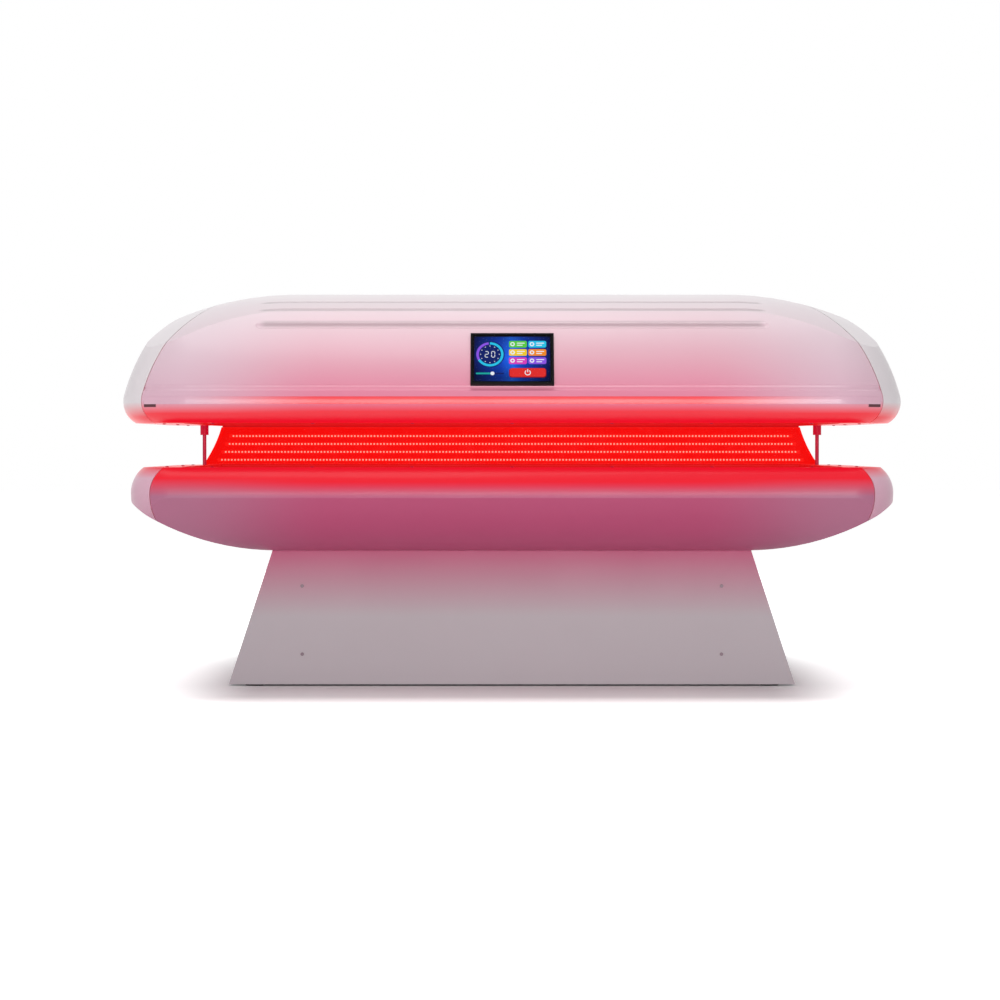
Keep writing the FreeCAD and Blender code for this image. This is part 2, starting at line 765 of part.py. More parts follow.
node(vault_band("canopy_acrylic", "vault_radius", "(vault_radius + acrylic_thickness)",
                "-tunnel_length / 2", "tunnel_length"))
node(vault_band("canopy_light_tray", "tray_radius", "(tray_radius + tray_thickness)",
                "-tunnel_length / 2", "tunnel_length"))
liner_line = [(f"-{vault_half('tray_radius')}", "canopy_deck_z"), Via(("0", "vault_z + tray_radius")),
              (vault_half("tray_radius"), "canopy_deck_z")]
right_liner = prism("right_liner", "yz", liner_line, "tunnel_length / 2", "end_liner_thickness")
node(group("canopy_end_liners", right_liner, mirror("left_liner", right_liner)))
ribs = [vault_band(f"rib_{i}", "rib_radius", "(rib_radius + rib_height)",
                   f"({x}) - rib_width / 2", "rib_width")
        for i, x in enumerate(("-rib_far", "-rib_near", "rib_near", "rib_far"), start=1)]
node(group("canopy_ribs", *ribs))
node(mid_box("canopy_spine", ("2 * rib_far + rib_width", "rib_width", "rib_width"),
             ("0", "0", "vault_z + rib_radius + rib_height + rib_width / 2")))

strip_size = ("tunnel_length - 2 * strip_margin", "strip_width", "strip_thickness")
strips = []
for row in range(int(SIZES["light_rows"])):
    angle = f"({row} - (light_rows - 1) / 2) * row_angle"
    reach = "(tray_radius - strip_thickness - fit_gap / 2)"
    at = ("-tunnel_length / 2 + strip_margin", f"{reach} * sin({angle}) - strip_width / 2 * cos({angle})",
          f"vault_z + {reach} * cos({angle}) + strip_width / 2 * sin({angle})")
    strips.append(box(f"canopy_strip_{row + 1}", strip_size, at, turn=((1, 0, 0), f"-({angle})")))
node(group("canopy_led_strips", *strips))

# Touch screen: a housing let into the front skin, a display panel and a cover glass

screen_shell = screen_block("screen_shell", "0", "-screen_box_depth", "0")
screen_well = screen_block("screen_well", "-screen_bezel", "-screen_box_depth + 4", "1")
screen_rebate = screen_block("screen_rebate", "-screen_bezel / 2", "-screen_glass", "1")
node(cut("screen_housing", screen_shell, screen_well, screen_rebate))
node(screen_block("screen_display", "-screen_bezel - fit_gap", "-screen_box_depth + 4", "-screen_glass"))
node(screen_block("screen_glass", "-screen_bezel / 2 - fit_gap", "-screen_glass", "0"))

# Fans: a square frame with a motor post, and an impeller that turns on it


def turned_rod(label, radius, length, at, turn):
    thing = add("Part::Cylinder", label)
    bind(thing, Radius=radius, Height=length)
    return place(thing, *at, turn=((1, 0, 0), turn))


def fan_frame(label, point, turn):
    """A fan frame whose outer face lies at local z = 0; point turns local places into world ones."""
    across = ((1, 0, 0), turn)
    square = box(f"{label}_square", ("fan_size", "fan_size", "fan_depth"),
                 point("-fan_size / 2", "-fan_size / 2", "-fan_depth"), turn=across)
    bore = turned_rod(f"{label}_bore", "fan_bore", "fan_depth + 2", point("0", "0", "-fan_depth - 1"), turn)
    ring = cut(f"{label}_ring", square, bore)
    spokes = [box(f"{label}_spoke_wide", ("2 * fan_bore + 2", "6", "2"),
                  point("-fan_bore - 1", "-3", "-fan_depth"), turn=across),
              box(f"{label}_spoke_tall", ("6", "2 * fan_bore + 2", "2"),
                  point("-3", "-fan_bore - 1", "-fan_depth"), turn=across)]
    seat = turned_rod(f"{label}_seat", "fan_hub - 1", "2", point("0", "0", "-fan_depth"), turn)
    post = turned_rod(f"{label}_post", "fan_shaft", "fan_depth - 4", point("0", "0", "-fan_depth"), turn)
    return fuse(label, ring, *spokes, seat, post)


def fan_impeller(label, point, turn):
    """A hub on the motor post with seven slanted blades."""
    bore = "fan_shaft + running_gap"
    body = revolve(label, [(bore, "-fan_depth + 3"), ("fan_hub", "-fan_depth + 3"),
                           ("fan_hub", "-2"), ("0", "-2"), ("0", "-3.5"), (bore, "-3.5")])
    lean = [("-9", "-fan_depth + 4"), ("-7", "-fan_depth + 4"), ("9", "-3"), ("7", "-3")]
    sketch = body_sketch(body, f"{label}_blade_profile", "yz", lean)
    sketch.setExpression("AttachmentOffset.Base.z", expr("fan_hub - 3"))
    blade = body.newObject("PartDesign::Pad", f"{label}_blade")
    blade.Profile = sketch
    bind(blade, Length="fan_bore - fan_hub - 1")
    ring = body.newObject("PartDesign::PolarPattern", f"{label}_blades")
    ring.Originals = [blade]
    ring.Axis = ([f for f in body.Origin.OriginFeatures if f.Role == "Z_Axis"][0], [""])
    ring.Angle = 360
    ring.Occurrences = 7
    body.Tip = ring
    place(body, *point("0", "0", "0"), turn=((1, 0, 0), turn))
    return body


def canopy_fan_point(side):
    return lambda a, b, c: at_fan(side, a, b, c)


node(group("canopy_fan_frames", *[fan_frame(f"canopy_fan_{name}_frame", canopy_fan_point(side), "fan_turn")
                                  for side, name in ((-1, "left"), (1, "right"))]))
node(fan_impeller("canopy_fan_left_impeller", canopy_fan_point(-1), "fan_turn"))
node(fan_impeller("canopy_fan_right_impeller", canopy_fan_point(1), "fan_turn"))


# Bed skin: hull and end caps

bed_skin = cut("bed_skin", bed_outer, bed_inner)


def bed_core(label, depth):
    """The length of hull left when that much is parted off each end along the end profile."""
    left = hull_profile(f"(bed_length / 2 - {depth})", "0")
    return prism(label, "xz", left + flip(left), "-bed_depth", "2 * bed_depth")


bed_caps = cut("bed_caps", bed_skin, bed_core("bed_cap_seam", "bed_cap_depth"))
node(common("bed_left_end_cap", bed_caps, left_half))
node(common("bed_right_end_cap", bed_caps, right_half))
node(common("bed_shell", bed_skin, bed_core("bed_shell_seam", "(bed_cap_depth + seam_gap)")))

# Bed inside: deck, acrylic dish, light tray, light strips and carrying frame

work("bed_lip_in", "bed_lip_radius + fit_gap"
     " - sqrt((bed_lip_radius - bed_wall) ^ 2 - (rim_height - bed_belly_z) ^ 2)")
work("bed_deck_z", "rim_height - deck_thickness")
work("dish_z", "bed_deck_z - fit_gap")
work("dish_radius", "((dish_width / 2) ^ 2 + dish_sag ^ 2) / (2 * dish_sag)")
work("dish_centre_z", "dish_z - dish_sag + dish_radius")
work("bed_tray_radius", "dish_radius + bed_tray_drop")
work("bed_tray_half", "dish_width / 2 + 3")
work("bed_tray_floor_z", "dish_centre_z - sqrt(bed_tray_radius ^ 2 - bed_tray_half ^ 2)")
work("dish_length", "tunnel_length + 50")

bed_plate = prism("bed_plate", "xy", rounded_rect("bed_length / 2 - bed_lip_in", "bed_depth / 2 - bed_lip_in",
                  "bed_plan_radius - bed_lip_in"), "bed_deck_z", "deck_thickness")
bed_hole = box("bed_hole", ("tunnel_length", "dish_width - 50", "4 * deck_thickness"),
               ("-tunnel_length / 2", "-dish_width / 2 + 15", "bed_deck_z - 6"))
rod_slot = box("rod_slot", ("18", "38", "4 * deck_thickness"),
               ("strut_x - 9", "strut_setback - 10", "bed_deck_z - 6"))
node(cut("bed_deck", bed_plate, bed_hole, rod_slot, mirror("left_rod_slot", rod_slot)))


def dish_band(label, half, low, high, start, length):
    """A sagging sheet between two radii about the dish centre line."""
    def edge(radius):
        return f"dish_centre_z - sqrt(({radius}) ^ 2 - ({half}) ^ 2)"

    line = [(f"-({half})", edge(low)), Via(("0", f"dish_centre_z - ({low})")), (half, edge(low)),
            (half, edge(high)), Via(("0", f"dish_centre_z - ({high})")), (f"-({half})", edge(high))]
    return prism(label, "yz", line, start, length)


node(dish_band("bed_acrylic", "dish_width / 2", "dish_radius", "dish_radius + acrylic_thickness",
               "-dish_length / 2", "dish_length"))
tray_floor = dish_band("bed_tray_floor", "bed_tray_half", "bed_tray_radius",
                       "bed_tray_radius + tray_thickness", "-dish_length / 2 - fit_gap",
                       "dish_length + 2 * fit_gap")
tray_side = box("bed_tray_side", ("dish_length + 2 * fit_gap", "tray_thickness",
                                  "bed_deck_z - fit_gap - bed_tray_floor_z + 1"),
                ("-dish_length / 2 - fit_gap", "bed_tray_half - tray_thickness", "bed_tray_floor_z - 1"))
tray_end_line = [("-bed_tray_half", "dish_z"), ("-bed_tray_half", "bed_tray_floor_z"),
                 Via(("0", "dish_centre_z - bed_tray_radius - tray_thickness")),
                 ("bed_tray_half", "bed_tray_floor_z"), ("bed_tray_half", "dish_z")]
tray_end = prism("bed_tray_end", "yz", tray_end_line, "dish_length / 2 + fit_gap", "tray_thickness")
node(fuse("bed_light_tray", tray_floor, tray_side, mirror("bed_tray_front", tray_side, (0, 1, 0)),
          tray_end, mirror("bed_tray_left_end", tray_end)))

strips = []
for row in range(int(SIZES["light_rows"])):
    reach = "(bed_tray_radius - fit_gap / 2)"
    angle = f"asin(({row} - (light_rows - 1) / 2) * row_pitch / bed_tray_radius)"
    at = ("-tunnel_length / 2 + strip_margin", f"{reach} * sin({angle}) - strip_width / 2 * cos({angle})",
          f"dish_centre_z - {reach} * cos({angle}) - strip_width / 2 * sin({angle})")
    strips.append(box(f"bed_strip_{row + 1}", strip_size, at, turn=((1, 0, 0), angle)))
node(group("bed_led_strips", *strips))

work("beam_z", "base_height + bed_wall + fit_gap")
work("bearer_half", "dish_width / 2 - 20")
work("bearer_radius", "bed_tray_radius + tray_thickness + fit_gap")
work("bearer_edge_z", "dish_centre_z - sqrt(bearer_radius ^ 2 - bearer_half ^ 2)")
bearer_line = [("-bed_keel_depth / 2 + 40", "beam_z + tube_size"), ("-bearer_half", "bearer_edge_z - 35"),
               ("-bearer_half", "bearer_edge_z"), Via(("0", "dish_centre_z - bearer_radius")),
               ("bearer_half", "bearer_edge_z"), ("bearer_half", "bearer_edge_z - 35"),
               ("bed_keel_depth / 2 - 40", "beam_z + tube_size")]
bearers = [prism(f"bearer_{i}", "yz", bearer_line, f"({x}) - rib_width / 2", "rib_width")
           for i, x in enumerate(("-bearer_far", "-rib_near", "rib_near", "bearer_far"), start=1)]
beam = box("rear_beam", ("bed_keel_length", "tube_size", "tube_size"),
           ("-bed_keel_length / 2", "bed_keel_depth / 2 - 100", "beam_z"))
node(fuse("bed_frame", beam, mirror("front_beam", beam, (0, 1, 0)), *bearers))

# Rear wall: a lit box that stands on the back of the bed rim

work("wall_back_y", "shared_depth / 2 - bed_lip_radius"
     " + sqrt(bed_lip_radius ^ 2 - (rim_height - bed_belly_z) ^ 2)")
work("wall_front_y", "wall_back_y - wall_depth")


def wall_outline(inset):
    waist = f"-((wall_foot_length + wall_head_length) / 4 - wall_end_hollow - {inset})"
    left = [(f"-(wall_foot_length / 2 - {inset})", f"rim_height + {inset}"),
            Via((waist, "rim_height + wall_height / 2")),
            (f"-(wall_head_length / 2 - {inset})", f"rim_height + wall_height - {inset}")]
    return left + flip(left)


wall_block = prism("wall_block", "xz", wall_outline("0"), "wall_front_y", "wall_depth")
wall_room = prism("wall_room", "xz", wall_outline("wall_thickness"), "wall_front_y - 1",
                  "wall_depth - wall_thickness + 1")
node(cut("rear_wall_housing", wall_block, wall_room))
node(prism("rear_wall_acrylic", "xz", wall_outline("(wall_thickness + fit_gap)"), "wall_front_y",
           "acrylic_thickness"))
strips = []
for row in range(int(SIZES["wall_rows"])):
    height = f"(wall_row_start + {row} * wall_row_pitch)"
    half = (f"(wall_foot_length / 2 - (wall_foot_length - wall_head_length) / 2 * {height} / wall_height"
            " - wall_end_hollow - strip_margin)")
    strips.append(box(f"wall_strip_{row + 1}", (f"2 * {half}", "strip_thickness", "wall_strip_width"),
                      (f"-{half}", "wall_back_y - wall_thickness - strip_thickness",
                       f"rim_height + {height} - wall_strip_width / 2")))
node(group("rear_wall_led_strips", *strips))

# Hinges along the back of the wall

work("hinge_y", "wall_back_y + hinge_setback")
work("hinge_z", "lip_z - hinge_drop")
work("leaf_top_z", "hinge_z - hinge_barrel_radius - 1.5")
lower, pins, upper = [], [], []
for i, x in enumerate(("-hinge_spacing", "0", "hinge_spacing"), start=1):
    end = "hinge_length / 2"
    plate = box(f"lower_plate_{i}", ("hinge_length", "hinge_leaf", "hinge_leaf_height"),
                (f"{x} - {end}", "wall_back_y", "leaf_top_z - hinge_leaf_height"))
    parts = [plate]
    for side, low in (("left", f"{x} - {end}"), ("right", f"{x} + {end} - hinge_knuckle")):
        neck = box(f"lower_neck_{side}_{i}", ("hinge_knuckle", "hinge_leaf", "hinge_z - leaf_top_z + 1"),
                   (low, "wall_back_y", "leaf_top_z - 1"))
        barrel = rod(f"lower_barrel_{side}_{i}", "x", "hinge_barrel_radius", "hinge_knuckle",
                     (low, "hinge_y", "hinge_z"))
        parts += [neck, barrel]
    bore = rod(f"lower_bore_{i}", "x", "hinge_pin_radius + running_gap", "hinge_length + 2",
               (f"{x} - {end} - 1", "hinge_y", "hinge_z"))
    lower.append(cut(f"lower_leaf_{i}", fuse(f"lower_solid_{i}", *parts), bore))
    pins.append(rod(f"hinge_pin_{i}", "x", "hinge_pin_radius", "hinge_length",
                    (f"{x} - {end}", "hinge_y", "hinge_z")))
    half = "(hinge_length / 2 - hinge_knuckle - hinge_play)"
    flat = box(f"upper_plate_{i}", ("hinge_length", "wall_depth - 7", "hinge_leaf"),
               (f"{x} - {end}", "wall_front_y + 8", "lip_z - hinge_leaf"))
    tongue = box(f"upper_tongue_{i}", (f"2 * {half}", "30", "hinge_leaf"),
                 (f"{x} - {half}", "hinge_y - 30", "lip_z - hinge_leaf"))
    barrel = rod(f"upper_barrel_{i}", "x", "hinge_barrel_radius", f"2 * {half}",
                 (f"{x} - {half}", "hinge_y", "hinge_z"))
    hole = rod(f"upper_bore_{i}", "x", "hinge_pin_radius + running_gap", f"2 * {half} + 2",
               (f"{x} - {half} - 1", "hinge_y", "hinge_z"))
    upper.append(cut(f"upper_leaf_{i}", fuse(f"upper_solid_{i}", flat, tongue, barrel), hole))
node(group("hinge_lower_leaves", *lower))
node(group("hinge_pins", *pins))
node(group("hinge_upper_leaves", *upper))

# Gas struts: rod and foot eye below, tube and head eye above, with a bracket and pin at either end


def strut_bracket(label, low, high, offset, height):
    """Two plates beside the strut with a pin across them."""
    deep = "2 * strut_eye_radius"
    plates = [box(f"{label}_plate_{i}", ("strut_plate", deep, f"({high}) - ({low})"),
                  (x, "strut_setback - strut_eye_radius", low))
              for i, x in enumerate((f"strut_x - {offset} - strut_plate", f"strut_x + {offset}"), start=1)]
    pin = rod(f"{label}_pin", "x", "strut_pin_radius", f"2 * ({offset} + strut_plate)",
              (f"strut_x - {offset} - strut_plate", "strut_setback", height))
    return fuse(label, *plates, pin)


foot = strut_bracket("right_foot_bracket", "strut_foot_height - strut_eye_radius", "bed_deck_z", "10",
                     "strut_foot_height")
node(group("strut_foot_brackets", foot, mirror("left_foot_bracket", foot)))
head = strut_bracket("right_head_bracket", "canopy_deck_z", "strut_head_height + strut_eye_radius", "20",
                     "strut_head_height")
node(group("strut_head_brackets", head, mirror("left_head_bracket", head)))


def strut_eye(label, length, radius, height):
    return rod(label, "x", radius, length, (f"strut_x - ({length}) / 2", "strut_setback", height))


tube_solid = fuse("tube_solid", rod("tube_barrel", "z", "strut_tube_radius",
                                    "strut_head_height - 12 - strut_tube_foot",
                                    ("strut_x", "strut_setback", "strut_tube_foot")),
                  strut_eye("head_eye", "16", "strut_eye_radius", "strut_head_height"))
tube_bore = rod("tube_bore", "z", "strut_rod_radius + running_gap",
                "strut_head_height - 21 - strut_tube_foot",
                ("strut_x", "strut_setback", "strut_tube_foot - 1"))
head_hole = strut_eye("head_hole", "18", "strut_pin_radius + strut_float", "strut_head_height")
right_tube = node(cut("right_strut_tube", tube_solid, tube_bore, head_hole))
node(mirror("left_strut_tube", right_tube))
rod_solid = fuse("rod_solid", rod("rod_shaft", "z", "strut_rod_radius",
                                  "strut_head_height - 31 - strut_foot_height",
                                  ("strut_x", "strut_setback", "strut_foot_height + 7")),
                 strut_eye("foot_eye", "15", "strut_eye_radius - 2", "strut_foot_height"))
foot_hole = strut_eye("foot_hole", "17", "strut_pin_radius + running_gap", "strut_foot_height")
right_rod = node(cut("right_strut_rod", rod_solid, foot_hole))
node(mirror("left_strut_rod", right_rod))


# Base: a welded tube frame behind four sheet panels, on rubber pads

work("panel_y", "base_depth / 2 - panel_thickness")
work("rail_y", "panel_y - fit_gap - tube_size / 2")
work("post_x", "post_spacing / 2")
work("low_z", "pad_height")
work("high_z", "base_height - fit_gap - tube_size")
work("side_slope", "(base_foot_length - base_head_length) / 2 / base_height")


def side_x(z):
    """Half length of the base at a height."""
    return f"(base_foot_length / 2 - side_slope * ({z}))"


def panel_outline(inset):
    left = [(f"-({side_x('panel_clear')} - {inset})", "panel_clear"),
            (f"-({side_x('base_height')} - {inset})", "base_height")]
    return left + flip(left)


work("low_rail_half", "base_foot_length / 2 - side_slope * (low_z + tube_size) - 12")
work("high_rail_half", "base_head_length / 2 - 12")
tubes = []
for name, sign in (("front", -1), ("rear", 1)):
    y = f"({sign}) * rail_y"
    tubes.append(mid_box(f"{name}_low_rail", ("2 * low_rail_half", "tube_size", "tube_size"),
                         ("0", y, "low_z + tube_size / 2")))
    tubes.append(mid_box(f"{name}_high_rail", ("2 * high_rail_half", "tube_size", "tube_size"),
                         ("0", y, "high_z + tube_size / 2")))
    for side, where in (("left", "-post_x"), ("right", "post_x")):
        tubes.append(mid_box(f"{name}_{side}_post", ("tube_size", "tube_size", "high_z - low_z"),
                             (where, y, "(high_z + low_z + tube_size) / 2")))
for side, where in (("left", "-post_x"), ("right", "post_x")):
    for level in ("low", "high"):
        tubes.append(mid_box(f"{side}_{level}_cross", ("tube_size", "2 * rail_y", "tube_size"),
                             (where, "0", f"{level}_z + tube_size / 2")))
screw_spots = [(f"({side}) * post_x", height) for side in (-1, 1) for height in ("screw_low", "screw_high")]
tapped = [rod(f"tapped_hole_{i}", "y", "screw_radius + running_gap", "2 * base_depth", (x, "-base_depth", z))
          for i, (x, z) in enumerate(screw_spots, start=1)]
node(cut("base_frame", fuse("frame_tubes", *tubes), *tapped))

front_panel = body_pad("base_front_panel", "xz", panel_outline("0"), "panel_thickness")
drill(front_panel, "front_screw_holes", "xz", screw_spots, "screw_radius + fit_gap")
place(front_panel, "0", "-panel_y", "0")
node(front_panel)
rear_panel = body_pad("base_rear_panel", "xz", panel_outline("0"), "panel_thickness")
drill(rear_panel, "rear_screw_holes", "xz", screw_spots, "screw_radius + fit_gap")
fan_spots = [(f"({side}) * fan_spacing / 2", "base_fan_height") for side in (-1, 1)]
drill(rear_panel, "rear_fan_holes", "xz", fan_spots, "fan_bore")
inlet_hole = body_sketch(rear_panel, "inlet_hole_outline", "xz", [
    ("inlet_offset - 22", "inlet_height - 34"), ("inlet_offset + 22", "inlet_height - 34"),
    ("inlet_offset + 22", "inlet_height + 34"), ("inlet_offset - 22", "inlet_height + 34")])
inlet_pocket = rear_panel.newObject("PartDesign::Pocket", "inlet_hole")
inlet_pocket.Profile = inlet_hole
inlet_pocket.Type = "ThroughAll"
inlet_pocket.Midplane = True
place(rear_panel, "0", "base_depth / 2", "0")
node(rear_panel)

side_line = [(f"-{side_x('panel_clear')}", "panel_clear"), (f"-{side_x('base_height')}", "base_height"),
             (f"-({side_x('base_height')} - panel_thickness)", "base_height"),
             (f"-({side_x('panel_clear')} - panel_thickness)", "panel_clear")]
left_panel = node(prism("base_left_panel", "xz", side_line, "-panel_y + fit_gap", "2 * (panel_y - fit_gap)"))
node(mirror("base_right_panel", left_panel))
pad_spots = [(f"({sx}) * (low_rail_half - 45)", f"({sy}) * (rail_y - 8)", "0")
             for sx in (-1, 1) for sy in (-1, 1)]
pads = [rod(f"pad_{i}", "z", "pad_radius", "pad_height", spot) for i, spot in enumerate(pad_spots, start=1)]
node(group("base_feet", *pads))

screws = []
for i, (x, z) in enumerate(screw_spots, start=1):
    head = rod(f"front_screw_head_{i}", "y", "screw_head_radius", "screw_head_height",
               (x, "-base_depth / 2 - screw_head_height", z))
    shank = rod(f"front_screw_shank_{i}", "y", "screw_radius", "screw_length", (x, "-base_depth / 2", z))
    socket = mid_box(f"front_screw_slot_{i}", ("screw_head_radius * 1.3", "2", "1.6"),
                     (x, "-base_depth / 2 - screw_head_height", z))
    screws.append(cut(f"front_screw_{i}", fuse(f"front_screw_solid_{i}", head, shank), socket))
front_screws = group("front_screws", *screws)
node(group("base_panel_screws", front_screws, mirror("rear_screws", front_screws, (0, 1, 0))))

# Equipment in the base: tray, supplies, control board, fans with guards, inlet and rocker

work("floor_z", "low_z + tube_size + panel_thickness")
node(mid_box("equipment_tray", ("post_spacing - 60", "2 * rail_y", "panel_thickness"),
             ("0", "0", "floor_z - panel_thickness / 2")))
supplies = []
for i in range(4):
    x = f"({i} - 1.5) * supply_pitch"
    case = mid_box(f"supply_case_{i + 1}", ("supply_length", "supply_depth", "supply_tall"),
                   (x, "-supply_depth", "floor_z + supply_tall / 2"))
    notch = mid_box(f"supply_notch_{i + 1}", ("24", "supply_depth - 8", "supply_tall"),
                    (f"{x} + supply_length / 2", "-supply_depth", "floor_z + supply_tall"))
    blocks = mid_box(f"supply_terminals_{i + 1}", ("10", "supply_depth - 20", "12"),
                     (f"{x} + supply_length / 2 - 6", "-supply_depth", "floor_z + supply_tall / 2 + 5"))
    supplies.append(fuse(f"supply_{i + 1}", cut(f"supply_body_{i + 1}", case, notch), blocks))
node(group("led_power_supplies", *supplies))
board = mid_box("board_plate", ("180", "110", "1.6"), ("0", "110", "floor_z + 8.8"))
legs = [rod(f"board_leg_{i}", "z", "3.5", "8", (x, y, "floor_z"))
        for i, (x, y) in enumerate((x, y) for x in ("-82", "82") for y in ("63", "157"))]
CHIPS = (("-50", "120", ("32", "32", "4")), ("20", "130", ("24", "16", "14")),
         ("55", "100", ("18", "60", "16")), ("-10", "75", ("60", "10", "12")))
chips = [mid_box(f"board_chip_{i}", size, (x, y, f"floor_z + 9.5 + {size[2]} / 2"))
         for i, (x, y, size) in enumerate(CHIPS, start=1)]
node(fuse("control_board", board, *legs, *chips))

work("fan_back_y", "panel_y - fit_gap")


def base_fan_point(side):
    """Fans behind the rear panel, with local z toward the rear."""
    return lambda a, b, c: (f"({side}) * fan_spacing / 2 + ({a})", f"fan_back_y + ({c})",
                            f"base_fan_height - ({b})")


node(group("base_fan_frames", *[fan_frame(f"base_fan_{name}_frame", base_fan_point(side), "-90")
                                for side, name in ((-1, "left"), (1, "right"))]))
node(fan_impeller("base_fan_left_impeller", base_fan_point(-1), "-90"))
node(fan_impeller("base_fan_right_impeller", base_fan_point(1), "-90"))

guards = []
for side, name in ((-1, "left"), (1, "right")):
    x = f"({side}) * fan_spacing / 2"
    wires = []
    for i, radius in enumerate(("20", "39", "fan_bore + 1"), start=1):
        ring = add("Part::Torus", f"{name}_guard_ring_{i}")
        bind(ring, Radius1=radius, Radius2="guard_wire")
        wires.append(place(ring, x, "base_depth / 2 + guard_wire", "base_fan_height",
                           turn=((1, 0, 0), "-90")))
    wires.append(rod(f"{name}_guard_bar_wide", "x", "guard_wire", "2 * fan_bore + 2",
                     (f"{x} - fan_bore - 1", "base_depth / 2 + guard_wire", "base_fan_height")))
    wires.append(rod(f"{name}_guard_bar_tall", "z", "guard_wire", "2 * fan_bore + 2",
                     (x, "base_depth / 2 + guard_wire", "base_fan_height - fan_bore - 1")))
    guards.append(fuse(f"{name}_guard", *wires))
node(group("fan_guards", *guards))

work("inlet_face_y", "base_depth / 2 + 3")
work("rocker_z", "inlet_height + 18")
flange = mid_box("inlet_flange", ("52", "3", "78"), ("inlet_offset", "base_depth / 2 + 1.5", "inlet_height"))
case = mid_box("inlet_case", ("43", "30", "67"), ("inlet_offset", "base_depth / 2 - 14", "inlet_height"))
socket = mid_box("inlet_socket", ("28", "20", "22"),
                 ("inlet_offset", "inlet_face_y - 8", "inlet_height - 17"))
blades = [mid_box(f"inlet_blade_{i}", ("2", "14", "4"),
                  (f"inlet_offset + ({x})", "inlet_face_y - 13", f"inlet_height + ({z})"))
          for i, (x, z) in enumerate((("-7", "-19"), ("0", "-15"), ("7", "-19")), start=1)]
rocker_room = mid_box("rocker_room", ("20", "16", "28"),
                      ("inlet_offset", "inlet_face_y - 6", "rocker_z"))
pivot = rod("rocker_pivot", "x", "rocker_pin", "24", ("inlet_offset - 12", "inlet_face_y - 5", "rocker_z"))
inlet_solid = cut("inlet_solid", fuse("inlet_block", flange, case), socket, rocker_room)
node(fuse("power_inlet", inlet_solid, *blades, pivot))
rocker_line = [("inlet_face_y - 8", "rocker_z - 12"), ("inlet_face_y + 1", "rocker_z - 12"),
               ("inlet_face_y - 1", "rocker_z"), ("inlet_face_y + 1", "rocker_z + 12"),
               ("inlet_face_y - 8", "rocker_z + 12")]
rocker_block = prism("rocker_block", "yz", rocker_line, "inlet_offset - 9", "18")
rocker_bore = rod("rocker_bore", "x", "rocker_pin + running_gap", "20",
                  ("inlet_offset - 10", "inlet_face_y - 5", "rocker_z"))
node(cut("inlet_rocker", rocker_block, rocker_bore))

# Checks and files

doc.recompute()
faults = [o.Label for o in doc.Objects if "Invalid" in o.State or "Error" in o.State]
faults += [o.Label for o in NODES if o.Shape.isNull() or not o.Shape.isValid()]
if faults:
    raise RuntimeError("these objects did not build: " + ", ".join(faults))
os.makedirs("parts", exist_ok=True)
for item in NODES:
    item.Shape.exportStep(f"parts/{item.Label}.step")
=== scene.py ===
"""Looks of a red light therapy bed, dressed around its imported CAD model."""

import json
import math

import bmesh
import bpy
import numpy as np
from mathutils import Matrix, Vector


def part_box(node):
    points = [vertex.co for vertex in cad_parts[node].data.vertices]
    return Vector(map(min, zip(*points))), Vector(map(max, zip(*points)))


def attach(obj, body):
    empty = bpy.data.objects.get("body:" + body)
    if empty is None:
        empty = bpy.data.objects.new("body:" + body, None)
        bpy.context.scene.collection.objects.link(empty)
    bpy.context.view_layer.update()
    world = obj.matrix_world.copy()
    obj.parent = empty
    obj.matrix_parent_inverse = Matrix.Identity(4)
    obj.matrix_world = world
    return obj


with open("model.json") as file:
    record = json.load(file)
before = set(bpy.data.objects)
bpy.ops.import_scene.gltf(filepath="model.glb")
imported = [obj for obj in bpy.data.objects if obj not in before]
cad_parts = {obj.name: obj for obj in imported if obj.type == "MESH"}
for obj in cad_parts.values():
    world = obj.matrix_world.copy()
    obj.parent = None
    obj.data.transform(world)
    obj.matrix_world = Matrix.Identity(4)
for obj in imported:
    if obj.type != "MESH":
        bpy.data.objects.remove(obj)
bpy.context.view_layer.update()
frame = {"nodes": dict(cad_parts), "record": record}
nodes = frame["nodes"]
scene = bpy.context.scene
scene.view_settings.view_transform = "Standard"


# Camera, floor and light

CAMERA_PLACE = (-0.034, -7.54, 0.692)
CAMERA_TILT = 1.25
CAMERA_LENS = 90.5
FLOOR_HALF = 30.0
AMBIENT = 0.36
# Painted light on the floor, for the camera only: none within BASE_FOOT of the middle, rising over
# FLOOR_RINGS to FLOOR_LIFT, which washes out shadows away from the base.
BASE_FOOT = (0.70, 0.60, 0.0)
FLOOR_RINGS = (0.0, 0.34)
FLOOR_LIFT = (0.0, 0.70)


def add_object(name, data):
    obj = bpy.data.objects.new(name, data)
    scene.collection.objects.link(obj)
    return obj


def add_camera():
    camera = add_object("camera", bpy.data.cameras.new("camera"))
    camera.data.lens = CAMERA_LENS
    camera.data.sensor_width = 36.0
    camera.data.clip_end = 100.0
    camera.location = CAMERA_PLACE
    camera.rotation_euler = (math.radians(90 - CAMERA_TILT), 0, 0)
    scene.camera = camera


def add_lamp(name, place, target, size, watts):
    lamp = add_object(name, bpy.data.lights.new(name, "AREA"))
    lamp.data.shape = "RECTANGLE"
    lamp.data.size, lamp.data.size_y = size
    lamp.data.energy = watts
    lamp.location = place
    lamp.rotation_euler = (Vector(target) - Vector(place)).to_track_quat("-Z", "Y").to_euler()
    return lamp


def link(tree, source, target):
    tree.links.new(source, target)


